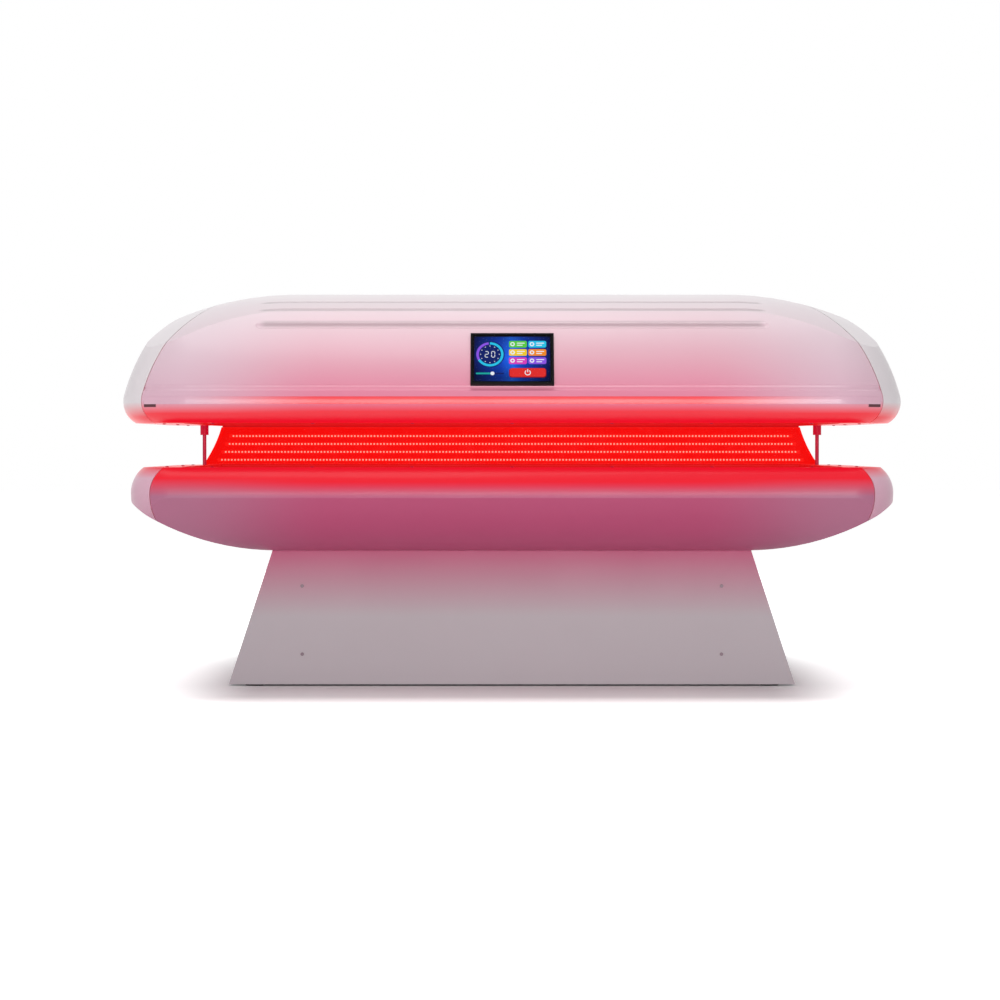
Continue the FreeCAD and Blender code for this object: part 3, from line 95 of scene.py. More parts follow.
def seen_directly(tree):
    """One where a ray comes from the camera, a mirror or clear stuff, and nought elsewhere."""
    path = tree.nodes.new("ShaderNodeLightPath")
    first = tree.nodes.new("ShaderNodeMath")
    second = tree.nodes.new("ShaderNodeMath")
    first.operation = second.operation = "MAXIMUM"
    link(tree, path.outputs["Is Camera Ray"], first.inputs[0])
    link(tree, path.outputs["Is Glossy Ray"], first.inputs[1])
    link(tree, first.outputs[0], second.inputs[0])
    link(tree, path.outputs["Is Transmission Ray"], second.inputs[1])
    return second.outputs[0]


def map_range(tree, value, from_low, from_high, to_low, to_high, smooth=False):
    node = tree.nodes.new("ShaderNodeMapRange")
    node.interpolation_type = "SMOOTHSTEP" if smooth else "LINEAR"
    node.inputs["From Min"].default_value = from_low
    node.inputs["From Max"].default_value = from_high
    node.inputs["To Min"].default_value = to_low
    node.inputs["To Max"].default_value = to_high
    link(tree, value, node.inputs["Value"])
    return node.outputs["Result"]


def add_world():
    """Even light from all round, and plain white where the camera looks past the floor."""
    world = bpy.data.worlds.new("studio")
    world.use_nodes = True
    tree = world.node_tree
    back = tree.nodes["Background"]
    back.inputs["Color"].default_value = (1, 1, 1, 1)
    strength = map_range(tree, seen_directly(tree), 0, 1, AMBIENT, 1)
    link(tree, strength, back.inputs["Strength"])
    scene.world = world


def add_floor():
    """A pale floor, lifted to white for the camera by painted light that grows away from the base's foot:
    shadows farther out wash away, the shade near the base stays.
    """
    mesh = bpy.data.meshes.new("floor")
    half = FLOOR_HALF
    corners = [(-half, -half, 0), (half, -half, 0), (half, half, 0), (-half, half, 0)]
    mesh.from_pydata(corners, [], [(0, 1, 2, 3)])
    floor = add_object("floor", mesh)
    material = bpy.data.materials.new("floor")
    material.use_nodes = True
    tree = material.node_tree
    shader = tree.nodes["Principled BSDF"]
    shader.inputs["Base Color"].default_value = (0.84, 0.84, 0.84, 1)
    shader.inputs["Roughness"].default_value = 0.9
    shader.inputs["Specular IOR Level"].default_value = 0.1
    shader.inputs["Emission Color"].default_value = (1, 1, 1, 1)
    place = tree.nodes.new("ShaderNodeTexCoord").outputs["Object"]
    steps = (("ABSOLUTE", None), ("SUBTRACT", BASE_FOOT), ("MAXIMUM", (0, 0, 0)), ("LENGTH", None))
    for operation, against in steps:
        step = tree.nodes.new("ShaderNodeVectorMath")
        step.operation = operation
        link(tree, place, step.inputs[0])
        if against:
            step.inputs[1].default_value = against
        place = next(socket for socket in step.outputs if socket.enabled)
    # Painted light for the camera, growing away from the base's foot.
    lift = map_range(tree, place, *FLOOR_RINGS, *FLOOR_LIFT, smooth=True)
    shown = tree.nodes.new("ShaderNodeMath")
    shown.operation = "MULTIPLY"
    link(tree, lift, shown.inputs[0])
    link(tree, seen_directly(tree), shown.inputs[1])
    link(tree, shown.outputs[0], shader.inputs["Emission Strength"])
    mesh.materials.append(material)


add_camera()
add_world()
add_floor()
add_lamp("key", (-0.9, -1.2, 4.6), (0, 0, 0.8), (3.0, 2.4), 48)
add_lamp("fill", (0.4, -6.4, 0.85), (0, 0, 0.55), (4.0, 1.4), 158)
add_lamp("top", (0.6, 0.6, 4.6), (0, 0, 0.6), (4.2, 3.0), 52)
add_lamp("back", (-0.6, 6.4, 1.5), (0, 0, 0.6), (4.0, 2.0), 70).visible_glossy = False
add_lamp("left", (-5.6, -1.2, 1.1), (0, 0, 0.6), (3.0, 1.6), 40).visible_glossy = False


# Materials

def linear(red, green, blue):
    """A screen colour of 0 to 255 as the linear colour that shaders take."""
    def channel(value):
        value /= 255
        return value / 12.92 if value <= 0.04045 else ((value + 0.055) / 1.055) ** 2.4
    return (channel(red), channel(green), channel(blue), 1)


class Finish:
    """A material with its node tree, its shader and the object coordinates that its nodes read."""

    def __init__(self, name, colour, roughness, metallic=0.0, coat=0.0):
        self.material = bpy.data.materials.new(name)
        self.material.use_nodes = True
        self.tree = self.material.node_tree
        self.shader = self.tree.nodes["Principled BSDF"]
        self.shader.inputs["Base Color"].default_value = colour
        self.shader.inputs["Roughness"].default_value = roughness
        self.shader.inputs["Metallic"].default_value = metallic
        self.shader.inputs["Coat Weight"].default_value = coat
        self.shader.inputs["Coat Roughness"].default_value = 0.12
        self.colour = colour
        self.roughness = roughness
        self.place = self.tree.nodes.new("ShaderNodeTexCoord").outputs["Object"]

    def axes(self):
        split = self.tree.nodes.new("ShaderNodeSeparateXYZ")
        link(self.tree, self.place, split.inputs[0])
        return split.outputs

    def noise(self, scale, detail=3.0, stretch=(1, 1, 1)):
        mapping = self.tree.nodes.new("ShaderNodeMapping")
        mapping.inputs["Scale"].default_value = stretch
        link(self.tree, self.place, mapping.inputs["Vector"])
        node = self.tree.nodes.new("ShaderNodeTexNoise")
        node.inputs["Scale"].default_value = scale
        node.inputs["Detail"].default_value = detail
        link(self.tree, mapping.outputs[0], node.inputs["Vector"])
        return node.outputs["Fac"]

    def ramp(self, value, stops):
        node = self.tree.nodes.new("ShaderNodeValToRGB")
        elements = node.color_ramp.elements
        while len(elements) < len(stops):
            elements.new(1.0)
        for element, (position, colour) in zip(elements, stops):
            element.position = position
            element.color = colour
        link(self.tree, value, node.inputs["Fac"])
        return node.outputs["Color"]

    def mix(self, factor, first, second, blend="MIX"):
        node = self.tree.nodes.new("ShaderNodeMix")
        node.data_type = "RGBA"
        node.blend_type = blend
        for socket, value in (("Factor", factor), ("A", first), ("B", second)):
            target = next(s for s in node.inputs if s.name == socket and s.enabled)
            if isinstance(value, bpy.types.NodeSocket):
                link(self.tree, value, target)
            else:
                target.default_value = value
        return next(s for s in node.outputs if s.enabled)

    def sum_up(self, operation, first, second=None):
        """A math node on one or two values, each a number or the output of another node."""
        node = self.tree.nodes.new("ShaderNodeMath")
        node.operation = operation
        for target, value in zip(node.inputs, (first, second)):
            if isinstance(value, bpy.types.NodeSocket):
                link(self.tree, value, target)
            elif value is not None:
                target.default_value = value
        return node.outputs[0]

    def groove_shade(self, grooves):
        """The painted shade in grooves along X: each has an axis, a place on it, a reach and a share of
        black.
        """
        axes = [self.sum_up("ABSOLUTE", value) for value in self.axes()]
        shade = 0.0
        for axis, middle, reach, share in grooves:
            off = self.sum_up("ABSOLUTE", self.sum_up("SUBTRACT", axes[axis], middle))
            near = map_range(self.tree, off, GROOVE_FLOOR, GROOVE_HALF, share, 0, smooth=True)
            within = map_range(self.tree, axes[0], reach - 2 * GROOVE_HALF, reach, 1, 0, smooth=True)
            shade = self.sum_up("MAXIMUM", self.sum_up("MULTIPLY", near, within), shade)
        return shade

    def paint(self, colour):
        link(self.tree, colour, self.shader.inputs["Base Color"])

    def mottle(self, scale=9.0, share=0.10, colour=None, stretch=(1, 1, 1)):
        """Slight changes of tone, over a plain colour or one that other nodes give."""
        shade = self.ramp(self.noise(scale, stretch=stretch),
                          [(0.3, (1 - share, 1 - share, 1 - share, 1)), (0.7, (1, 1, 1, 1))])
        self.paint(self.mix(1.0, colour or self.colour, shade, "MULTIPLY"))
        return self

    def wear(self, scale=26.0, spread=0.08):
        """Roughness that wanders, as wiped and handled surfaces have."""
        value = map_range(self.tree, self.noise(scale), 0.3, 0.7,
                          max(self.roughness - spread, 0.02), self.roughness + spread)
        link(self.tree, value, self.shader.inputs["Roughness"])
        return self

    def bump(self, scale=420.0, strength=0.06, distance=0.0004, stretch=(1, 1, 1)):
        node = self.tree.nodes.new("ShaderNodeBump")
        node.inputs["Strength"].default_value = strength
        node.inputs["Distance"].default_value = distance
        link(self.tree, self.noise(scale, stretch=stretch), node.inputs["Height"])
        link(self.tree, node.outputs[0], self.shader.inputs["Normal"])
        return self

    def glow(self, colour, strength):
        """Glow given off by the surface, for lamps and for painted light: a colour, and a strength that is
        one number or comes from nodes.
        """
        for socket, value in (("Emission Color", colour), ("Emission Strength", strength)):
            if isinstance(value, bpy.types.NodeSocket):
                link(self.tree, value, self.shader.inputs[socket])
            else:
                self.shader.inputs[socket].default_value = value
        return self


def shell_with_painted_light(name, roughness, coat, levels, stops, end_stops, glow_stops, plain, grooves=()):
    """Gloss plastic with the gap's red light painted on, as a tint in its colour and as painted glow, more so
    near the gap, in front and mid-length.
    """
    finish = Finish(name, plain, roughness, coat=coat)
    tree = finish.tree
    low, high = levels
    along, depth, height = finish.axes()
    level = map_range(tree, height, low, high, 0, 1)

    def by_height(colours):
        return finish.ramp(level, [((z - low) / (high - low), colour) for z, colour in colours])

    front = map_range(tree, depth, *REAR_FADE, 1, REAR_SHARE, smooth=True)
    middle = map_range(tree, finish.sum_up("ABSOLUTE", along), *END_FADE, 1, 0, smooth=True)
    lit = finish.mix(middle, by_height([(z, linear(*colour)) for z, colour in end_stops]),
                     by_height([(z, linear(*colour)) for z, colour in stops]))
    colour = finish.mix(front, plain, lit)
    # Painted shade darkens the grooves.
    if grooves:
        colour = finish.mix(finish.groove_shade(grooves), colour, BLACK)
    parts = by_height([(z, (part, part, part, 1)) for z, part in glow_stops])
    share = finish.sum_up("MULTIPLY", parts, front)
    finish.mottle(1.5, 0.02, finish.mix(share, colour, BLACK))
    finish.glow(colour, share)
    return finish.wear(5, 0.03).bump(160, 0.03, 0.0004)


def lit_red(name, colour, roughness, share, coat=0.3, metallic=0.0):
    """Red plastic or sheet lit by the strips, that light painted on: part of its colour is given as painted
    glow.
    """
    dark = tuple(channel * (1 - share) for channel in colour[:3]) + (1,)
    return Finish(name, dark, roughness, metallic, coat).mottle(7, 0.12).wear().glow(colour, share)


BLACK = (0, 0, 0, 1)
# The painted red light fades towards the ends, and towards the rear down to REAR_SHARE of it.
END_FADE = (0.50, 0.95)
REAR_FADE = (0.1, 0.5)
REAR_SHARE = 0.35
GROOVE_FLOOR = 0.003
GROOVE_HALF = 0.013
# Painted shade in the canopy's flutes: for each, the axis across it, its place on that axis, its reach along
# X and its share of black.
CANOPY_GROOVES = ((2, 1.032, 0.715, 0.30), (1, 0.417, 0.725, 0.4), (1, 0.325, 0.725, 0.4))
PEARL = linear(230, 226, 229)

# The gap's red light is painted on the shells, falling off from the gap: lit red at the edge, a rosy tint on
# the skin, then the plain shell; low down, painted red light in painted shade.
LIT_EDGE = (238, 12, 40)
ROSY = (222, 120, 150)
PALE_ROSY = (214, 170, 188)
SHELL = (224, 216, 220)
RED_LIGHT_IN_SHADE = (180, 76, 114)
FAINT_RED_LIGHT_IN_SHADE = (172, 106, 134)
PANEL_PLAIN = (180, 170, 175)

# Each shell's stops by height: painted red light and painted shade in its colour, and painted glow.
CANOPY_LEVELS = (0.754, 1.14)
CANOPY_STOPS = [(0.754, LIT_EDGE), (0.785, LIT_EDGE), (0.815, ROSY), (1.140, SHELL)]
CANOPY_END_STOPS = [(0.754, LIT_EDGE), (0.780, LIT_EDGE), (0.815, PALE_ROSY), (1.140, SHELL)]
CANOPY_GLOW = [(0.754, 0.60), (0.800, 0.45), (0.815, 0.20), (0.880, 0.08), (0.960, 0.0)]
RAIL_LEVELS = (0.80, 0.83)
RAIL_STOPS = [(0.80, LIT_EDGE), (0.83, LIT_EDGE)]
RAIL_END_STOPS = [(0.80, PALE_ROSY), (0.83, PALE_ROSY)]
RAIL_GLOW = [(0.80, 0.25), (0.83, 0.25)]
BED_LEVELS = (0.39, 0.63)
BED_STOPS = [(0.390, RED_LIGHT_IN_SHADE), (0.550, RED_LIGHT_IN_SHADE), (0.590, LIT_EDGE), (0.630, LIT_EDGE)]
BED_END_STOPS = [(0.390, FAINT_RED_LIGHT_IN_SHADE), (0.550, FAINT_RED_LIGHT_IN_SHADE), (0.600, LIT_EDGE), (0.630, LIT_EDGE)]
BED_GLOW = [(0.390, 0.04), (0.540, 0.08), (0.570, 0.20), (0.590, 0.50), (0.630, 0.60)]
CAP_LEVELS = (0.39, 1.14)
CAP_STOPS = [(0.390, FAINT_RED_LIGHT_IN_SHADE), (0.600, PALE_ROSY), (0.634, LIT_EDGE), (0.770, LIT_EDGE), (0.812, SHELL),
             (1.140, SHELL)]
CAP_GLOW = [(0.390, 0.0), (0.590, 0.10), (0.630, 0.30), (0.754, 0.40), (0.800, 0.12), (0.850, 0.0)]
# The base panels: grey, with painted red light in painted shade under the bed's hull at their top.
PANEL_LEVELS = (0.0, 0.39)
PANEL_STOPS = [(0.0, PANEL_PLAIN), (0.200, PANEL_PLAIN), (0.390, RED_LIGHT_IN_SHADE)]
PANEL_GLOW = [(0.0, 0.0), (0.300, 0.0), (0.390, 0.06)]

# Reds of the strips' light: painted as colour and glow on decks, liners, hinges, tray and rear wall; RED_HOT
# is the glow of the strips themselves.
RED_DEEP = linear(236, 14, 14)
RED_LIT = linear(255, 24, 16)
WALL_RED_LIGHT = linear(244, 8, 6)
RED_HOT = linear(255, 96, 62)

FINISHES = {
    # The shells and the rail, with the gap's red light painted on as colour and glow.
    "canopy_white": shell_with_painted_light("canopy_white", 0.33, 0.15, CANOPY_LEVELS, CANOPY_STOPS, CANOPY_END_STOPS,
                                  CANOPY_GLOW, PEARL, CANOPY_GROOVES),
    "bed_white": shell_with_painted_light("bed_white", 0.36, 0.1, BED_LEVELS, BED_STOPS, BED_END_STOPS, BED_GLOW, PEARL),
    "cap_white": shell_with_painted_light("cap_white", 0.33, 0.15, CAP_LEVELS, CAP_STOPS, CAP_STOPS, CAP_GLOW, PEARL),
    "panel_grey": shell_with_painted_light("panel_grey", 0.48, 0.1, PANEL_LEVELS, PANEL_STOPS, PANEL_STOPS, PANEL_GLOW,
                                linear(176, 168, 172)),
    "rail_light": shell_with_painted_light("rail_light", 0.36, 0.3, RAIL_LEVELS, RAIL_STOPS, RAIL_END_STOPS, RAIL_GLOW,
                                PEARL),
    # Dark plastic; on the rail's end plugs it stands where the shell shows a shadow gap, and there its dark
    # red is painted shade.
    "trim_dark": Finish("trim_dark", linear(74, 22, 34), 0.5).mottle(60, 0.2).bump(),
    # Decks, liners, acrylic and seals take the strips' red light painted on, as colour and painted glow.
    "deck_red": lit_red("deck_red", RED_DEEP, 0.4, 0.65),
    "liner_red": lit_red("liner_red", RED_DEEP, 0.4, 0.65),
    "acrylic": lit_red("acrylic", linear(246, 6, 4), 0.38, 0.85, coat=0.0),
    # The tray's pink is painted red reflection of the strips, and its glow is painted light.
    "tray_metal": Finish("tray_metal", linear(240, 120, 116), 0.42, 0.85)
    .mottle(40, 0.1, stretch=(0.05, 1, 1)).wear(30, 0.1).glow(RED_LIT, 0.35),
    "led_strip": Finish("led_strip", linear(250, 90, 66), 0.4).mottle(80, 0.25).glow(RED_HOT, 1.1),
    "wall_strip": Finish("wall_strip", linear(236, 30, 20), 0.45).mottle(80, 0.2)
    .glow(linear(252, 38, 22), 0.7),
    "seal_red": lit_red("seal_red", linear(214, 12, 20), 0.6, 0.6, coat=0.0),
    "led_bead": Finish("led_bead", linear(255, 170, 150), 0.15, coat=0.5).mottle(200, 0.1)
    .glow(linear(255, 150, 120), 2.2),
    "wall_bead": Finish("wall_bead", linear(255, 190, 176), 0.15, coat=0.5).mottle(200, 0.1)
    .glow(linear(255, 168, 150), 2.6),
    "rib_metal": Finish("rib_metal", linear(196, 192, 194), 0.35, 0.9).mottle(30, 0.12, stretch=(0.1, 1, 1))
    .wear(40, 0.1),
    "frame_metal": Finish("frame_metal", linear(92, 90, 94), 0.5).mottle(30, 0.15).wear().bump(700, 0.25),
    "pad_rubber": Finish("pad_rubber", linear(34, 33, 34), 0.75).mottle(60, 0.25).bump(900, 0.3),
    "bright_metal": Finish("bright_metal", linear(200, 196, 197), 0.38, 0.95).mottle(60, 0.12).wear(90, 0.06),
    # The struts, and the deck screws in strut_chrome, take the strips' red light painted on: painted red
    # reflection in their colour and painted glow.
    "strut_chrome": lit_red("strut_chrome", linear(180, 40, 68), 0.38, 0.4, coat=0.0, metallic=0.4),
    "strut_dark": lit_red("strut_dark", linear(200, 14, 56), 0.4, 0.4, coat=0.0),
    "screw_metal": Finish("screw_metal", linear(132, 114, 122), 0.5, 0.4).mottle(300, 0.15).wear(300, 0.1),
    "screen_black": Finish("screen_black", linear(6, 6, 8), 0.4).mottle(40, 0.2).wear(60, 0.06),
    "screen_cover": Finish("screen_cover", linear(16, 18, 26), 0.32).mottle(20, 0.05).wear(30, 0.03),
    "fan_black": Finish("fan_black", linear(36, 36, 38), 0.5).mottle(60, 0.2).bump(800, 0.2),
    "board_green": Finish("board_green", linear(28, 110, 62), 0.42).mottle(90, 0.3).wear(),
    "inlet_black": Finish("inlet_black", linear(30, 30, 32), 0.5).mottle(80, 0.2).bump(900, 0.2),
    "rocker_red": Finish("rocker_red", linear(176, 20, 24), 0.4, coat=0.4).mottle(80, 0.1).wear(),
}
FINISHES["acrylic"].shader.inputs["Alpha"].default_value = 0.4
FINISHES["screen_cover"].shader.inputs["Alpha"].default_value = 0.06
DULL = {"screen_black": 0.1, "screen_cover": 0.1, "acrylic": 0.05, "strut_dark": 0.2, "strut_chrome": 0.2,
        "bed_white": 0.25, "panel_grey": 0.25, "screw_metal": 0.2}
for slot, level in DULL.items():
    FINISHES[slot].shader.inputs["Specular IOR Level"].default_value = level

DISPLAY_HALF = 0.106
DISPLAY_HEIGHTS = (0.88, 1.0)


def display_finish():
    """A lit screen: deep blue, brighter towards its middle, with slight changes of tone."""
    finish = Finish("screen_blue", linear(10, 26, 92), 0.3)
    across, _, height = finish.axes()
    side = map_range(finish.tree, across, -DISPLAY_HALF, DISPLAY_HALF, 0, 1)
    glow = finish.ramp(side, [(0.0, linear(8, 16, 70)), (0.35, linear(18, 60, 170)),
                              (0.5, linear(30, 96, 214)), (0.65, linear(18, 60, 170)),
                              (1.0, linear(8, 16, 70))])
    fade = finish.ramp(map_range(finish.tree, height, *DISPLAY_HEIGHTS, 0, 1),
                       [(0.0, (0.35, 0.35, 0.35, 1)), (0.45, (1, 1, 1, 1)), (1.0, (0.4, 0.4, 0.4, 1))])
    colour = finish.mix(1.0, glow, fade, "MULTIPLY")
    finish.mottle(160, 0.25, colour)
    finish.shader.inputs["Specular IOR Level"].default_value = 0.05
    return finish.glow(colour, 0.75)


FINISHES["screen_blue"] = display_finish()


def turned_finish(name, plain, red, roughness, metallic, share):
    """A finish that is plain behind and has the strips' red light painted on its side of the gap, as colour
    and glow.
    """
    finish = Finish(name, plain, roughness, metallic)
    inside = map_range(finish.tree, finish.axes()[1], *WALL_FADE, 1, 0, smooth=True)
    dark = tuple(channel * (1 - share) for channel in red[:3]) + (1,)
    finish.mottle(30, 0.03, finish.mix(inside, plain, dark)).wear(60, 0.06)
    finish.shader.inputs["Specular IOR Level"].default_value = 0.1
    return finish.glow(red, map_range(finish.tree, inside, 0, 1, 0, share))


# The strips' red light is painted on the rear wall and the hinge leaves, as colour and glow, as far as the
# wall's back plate; outside that plate they are plain.
RED_ENDS, PLAIN_STARTS = 0.0028, 0.0006
wall_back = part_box("rear_wall_housing")[1][1]
WALL_FADE = (wall_back - RED_ENDS, wall_back - PLAIN_STARTS)
FINISHES["hinge_metal"] = turned_finish("hinge_metal", linear(200, 196, 197), RED_DEEP, 0.38, 0.9, 0.7)
FINISHES["wall_red"] = turned_finish("wall_red", PEARL, WALL_RED_LIGHT, 0.4, 0.0, 0.9)

slot_of = {part["node"]: part["material_slot"] for part in frame["record"]["subparts"]}
slot_of["base_panel_screws"] = "screw_metal"
slot_of["rear_wall_led_strips"] = "wall_strip"
slot_of["hinge_upper_leaves"] = slot_of["hinge_lower_leaves"] = "hinge_metal"
for name, node in nodes.items():
    node.data.materials.clear()
    node.data.materials.append(FINISHES[slot_of[name]].material)


# Pieces that the CAD leaves to the looks

def add_piece(name, points, faces, slot, body, smooth=True, finish=None):
    """A mesh that rides on a body and takes its finish from a slot of the record."""
    mesh = bpy.data.meshes.new(name)
    mesh.from_pydata(points, [], faces)
    for polygon in mesh.polygons:
        polygon.use_smooth = smooth
    mesh.materials.append(FINISHES[finish or slot].material)
    piece = add_object(name, mesh)
    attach(piece, body)
    return piece


def solids_of(node):
    """The vertices of each separate solid of a CAD node, in a fixed order."""
    mesh = bmesh.new()
    mesh.from_mesh(nodes[node].data)
    bmesh.ops.remove_doubles(mesh, verts=mesh.verts, dist=1e-5)
    left, groups = set(mesh.verts), []
    while left:
        stack, group = [left.pop()], []
        while stack:
            vert = stack.pop()
            group.append(tuple(vert.co))
            others = [edge.other_vert(vert) for edge in vert.link_edges]
            fresh = [other for other in others if other in left]
            left.difference_update(fresh)
            stack.extend(fresh)
        groups.append(np.array(group))
    mesh.free()
    return sorted(groups, key=lambda group: tuple(np.round(group.mean(axis=0), 4)))


def turned(rings, sides):
    """Points and faces of a small closed turned form: rings of (radius, height), capped at both ends."""
    steps = [2 * math.pi * i / sides for i in range(sides)]
    points = [(radius * math.cos(a), radius * math.sin(a), height) for radius, height in rings for a in steps]
    faces = [tuple(range(sides))[::-1]]
    for ring in range(len(rings) - 1):
        start = ring * sides
        faces += [(start + i, start + (i + 1) % sides, start + sides + (i + 1) % sides, start + sides + i)
                  for i in range(sides)]
    faces.append(tuple(range((len(rings) - 1) * sides, len(rings) * sides)))
    return np.array(points), faces


def scatter(form, places):
    """One mesh of a form set at each place, with its own axis along the direction given there."""
    points, faces = form
    all_points, all_faces = [], []
    for place, axis in places:
        turn = np.array(Vector(axis).to_track_quat("Z", "X").to_matrix())
        start = len(all_points)
        all_points += [tuple(row) for row in points @ turn.T + np.array(place)]
        all_faces += [tuple(start + i for i in face) for face in faces]
    return all_points, all_faces


def row_places(solid, axis, pitch, margin):
    """Places along the face of a strip that looks along an axis, at an even pitch."""
    axis = np.array(axis)
    face = (solid @ axis).max() - BEAD_SINK
    middle = solid.mean(axis=0)
    low, high = solid[:, 0].min() + margin, solid[:, 0].max() - margin
    count = int((high - low) / pitch) + 1
    base = middle + axis * (face - middle @ axis)
    return [((x, base[1], base[2]), tuple(axis)) for x in np.linspace(low, high, count)]


def towards(solid, centre_z):
    """The direction in the section plane from a strip to a centre on the object's middle plane."""
    _, depth, height = solid.mean(axis=0)
    way = Vector((0, -depth, centre_z - height)).normalized()
    return tuple(way)


VAULT_CENTRE_Z = 0.4714
DISH_CENTRE_Z = 2.56
BEAD_PITCH = 0.024
WALL_BEAD_PITCH = 0.0105
BEAD_MARGIN = 0.014
BEAD_SINK = 0.0002
BEAD = turned([(0.0042, 0), (0.0040, 0.0008), (0.0030, 0.0018), (0.0014, 0.0024)], 8)
WALL_BEAD = turned([(0.0030, 0), (0.0028, 0.0006), (0.0020, 0.0013), (0.0010, 0.0017)], 8)


def add_beads(name, node, body, looks, bead=BEAD, pitch=BEAD_PITCH, finish="led_bead"):
    places = [place for solid in solids_of(node)
              for place in row_places(solid, looks(solid), pitch, BEAD_MARGIN)]
    add_piece(name, *scatter(bead, places), "led_strip", body, finish=finish)


add_beads("canopy_led_beads", "canopy_led_strips", "canopy", lambda solid: towards(solid, VAULT_CENTRE_Z))
add_beads("bed_led_beads", "bed_led_strips", "bed", lambda solid: towards(solid, DISH_CENTRE_Z))
add_beads("wall_led_beads", "rear_wall_led_strips", "bed", lambda solid: (0, -1, 0),
          WALL_BEAD, WALL_BEAD_PITCH, "wall_bead")


# Edge trims round the two openings, the seal on the rear wall, and screws

def rounded_path(low, high, radius, steps=6):
    """A closed rectangle path with rounded corners, as points with their outward directions."""
    path = []
    corners = ((high[0] - radius, high[1] - radius, 0), (low[0] + radius, high[1] - radius, 90),
               (low[0] + radius, low[1] + radius, 180), (high[0] - radius, low[1] + radius, 270))
    for x, y, start in corners:
        for i in range(steps + 1):
            angle = math.radians(start + 90 * i / steps)
            way = (math.cos(angle), math.sin(angle))
            path.append(((x + radius * way[0], y + radius * way[1]), way))
    return path


def loop_trim(path, height, section):
    """A closed loop swept from a section of (outward, upward) points."""
    sides, count = len(section), len(path)
    points = [(x + way[0] * out, y + way[1] * out, height + up)
              for (x, y), way in path for out, up in section]
    faces = [(i * sides + j, ((i + 1) % count) * sides + j,
              ((i + 1) % count) * sides + (j + 1) % sides, i * sides + (j + 1) % sides)
             for i in range(count) for j in range(sides)]
    return points, faces


def lip_section(thickness):
    """A rubber edge trim that grips a sheet of that thickness, as seen along its run."""
    half = thickness / 2
    return [(0.006, half), (0.004, half + 0.0012), (0, half + 0.0014), (-0.003, half + 0.0004), (-0.004, 0),
            (-0.003, -half - 0.0004), (0, -half - 0.0014), (0.004, -half - 0.0012), (0.006, -half)]


DECK = 0.006
OPENING_RADIUS = 0.012
BED_OPENING = ((-0.925, -0.475), (0.925, 0.455))
CANOPY_OPENING = ((-0.921, -0.447), (0.921, 0.447))
bed_deck_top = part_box("bed_deck")[1][2]
canopy_deck_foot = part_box("canopy_deck")[0][2]
add_piece("bed_opening_trim", *loop_trim(rounded_path(*BED_OPENING, OPENING_RADIUS), bed_deck_top - DECK / 2,
                                         lip_section(DECK)), "trim_dark", "bed", finish="seal_red")
add_piece("canopy_opening_trim", *loop_trim(rounded_path(*CANOPY_OPENING, OPENING_RADIUS),
                                            canopy_deck_foot + DECK / 2, lip_section(DECK)),
          "trim_dark", "canopy", finish="seal_red")


def bar_along_x(low, high, section):
    """A closed bar between two places on X, from a section of (depth, height) points."""
    sides = len(section)
    points = [(x, depth, height) for x in (low, high) for depth, height in section]
    faces = [(i, (i + 1) % sides, sides + (i + 1) % sides, sides + i) for i in range(sides)]
    return points, faces + [tuple(range(sides))[::-1], tuple(range(sides, 2 * sides))]


SEAL_REACH = 0.917
SEAL_HALF = 0.0034
SEAL_GAP = 0.0006
wall_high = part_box("rear_wall_housing")[1]
seal_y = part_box("hinge_upper_leaves")[0][1] - SEAL_GAP - SEAL_HALF
seal_foot, seal_top = wall_high[2] - 0.0003, canopy_deck_foot - 0.0004
seal_section = [(seal_y + SEAL_HALF * math.cos(math.pi * i / 8),
                 seal_foot + (seal_top - seal_foot) * math.sin(math.pi * i / 8)) for i in range(9)]
add_piece("rear_wall_seal", *bar_along_x(-SEAL_REACH, SEAL_REACH, seal_section), "trim_dark", "bed",
          finish="seal_red")

SCREW = turned([(0.0050, -0.0004), (0.0050, 0.0008), (0.0038, 0.0022), (0.0021, 0.0023),
                (0.0020, 0.0008)], 12)
SCREW_STEPS = (-0.84, -0.56, -0.28, 0.0, 0.28, 0.56, 0.84)
BED_SCREW_FRONT, BED_SCREW_END = -0.500, 0.985
LID_SCREW_FRONT, LID_SCREW_END = -0.478, 1.000
deck_screws = [((x, BED_SCREW_FRONT, bed_deck_top), (0, 0, 1)) for x in SCREW_STEPS]
deck_screws += [((side * BED_SCREW_END, y, bed_deck_top), (0, 0, 1))
                for side in (-1, 1) for y in (-0.36, 0.0, 0.25)]
add_piece("bed_deck_screws", *scatter(SCREW, deck_screws), "bright_metal", "bed", finish="strut_chrome")
lid_screws = [((x, LID_SCREW_FRONT, canopy_deck_foot), (0, 0, -1)) for x in SCREW_STEPS]
lid_screws += [((side * LID_SCREW_END, y, canopy_deck_foot), (0, 0, -1))
               for side in (-1, 1) for y in (-0.3, 0.0, 0.25)]
add_piece("canopy_deck_screws", *scatter(SCREW, lid_screws), "bright_metal", "canopy", finish="strut_chrome")
WALL_SCREW_STEPS = (-0.88, -0.50, -0.20, 0.20, 0.50, 0.88)
WALL_SCREW_HEIGHTS = (0.655, 0.715)
wall_screws = [((x, wall_high[1], height), (0, 1, 0)) for x in WALL_SCREW_STEPS
               for height in WALL_SCREW_HEIGHTS]
add_piece("rear_wall_screws", *scatter(SCREW, wall_screws), "bright_metal", "bed", finish="screw_metal")


# What the touch screen shows: a dial, a slider, six tiles and a start button of this part's own layout

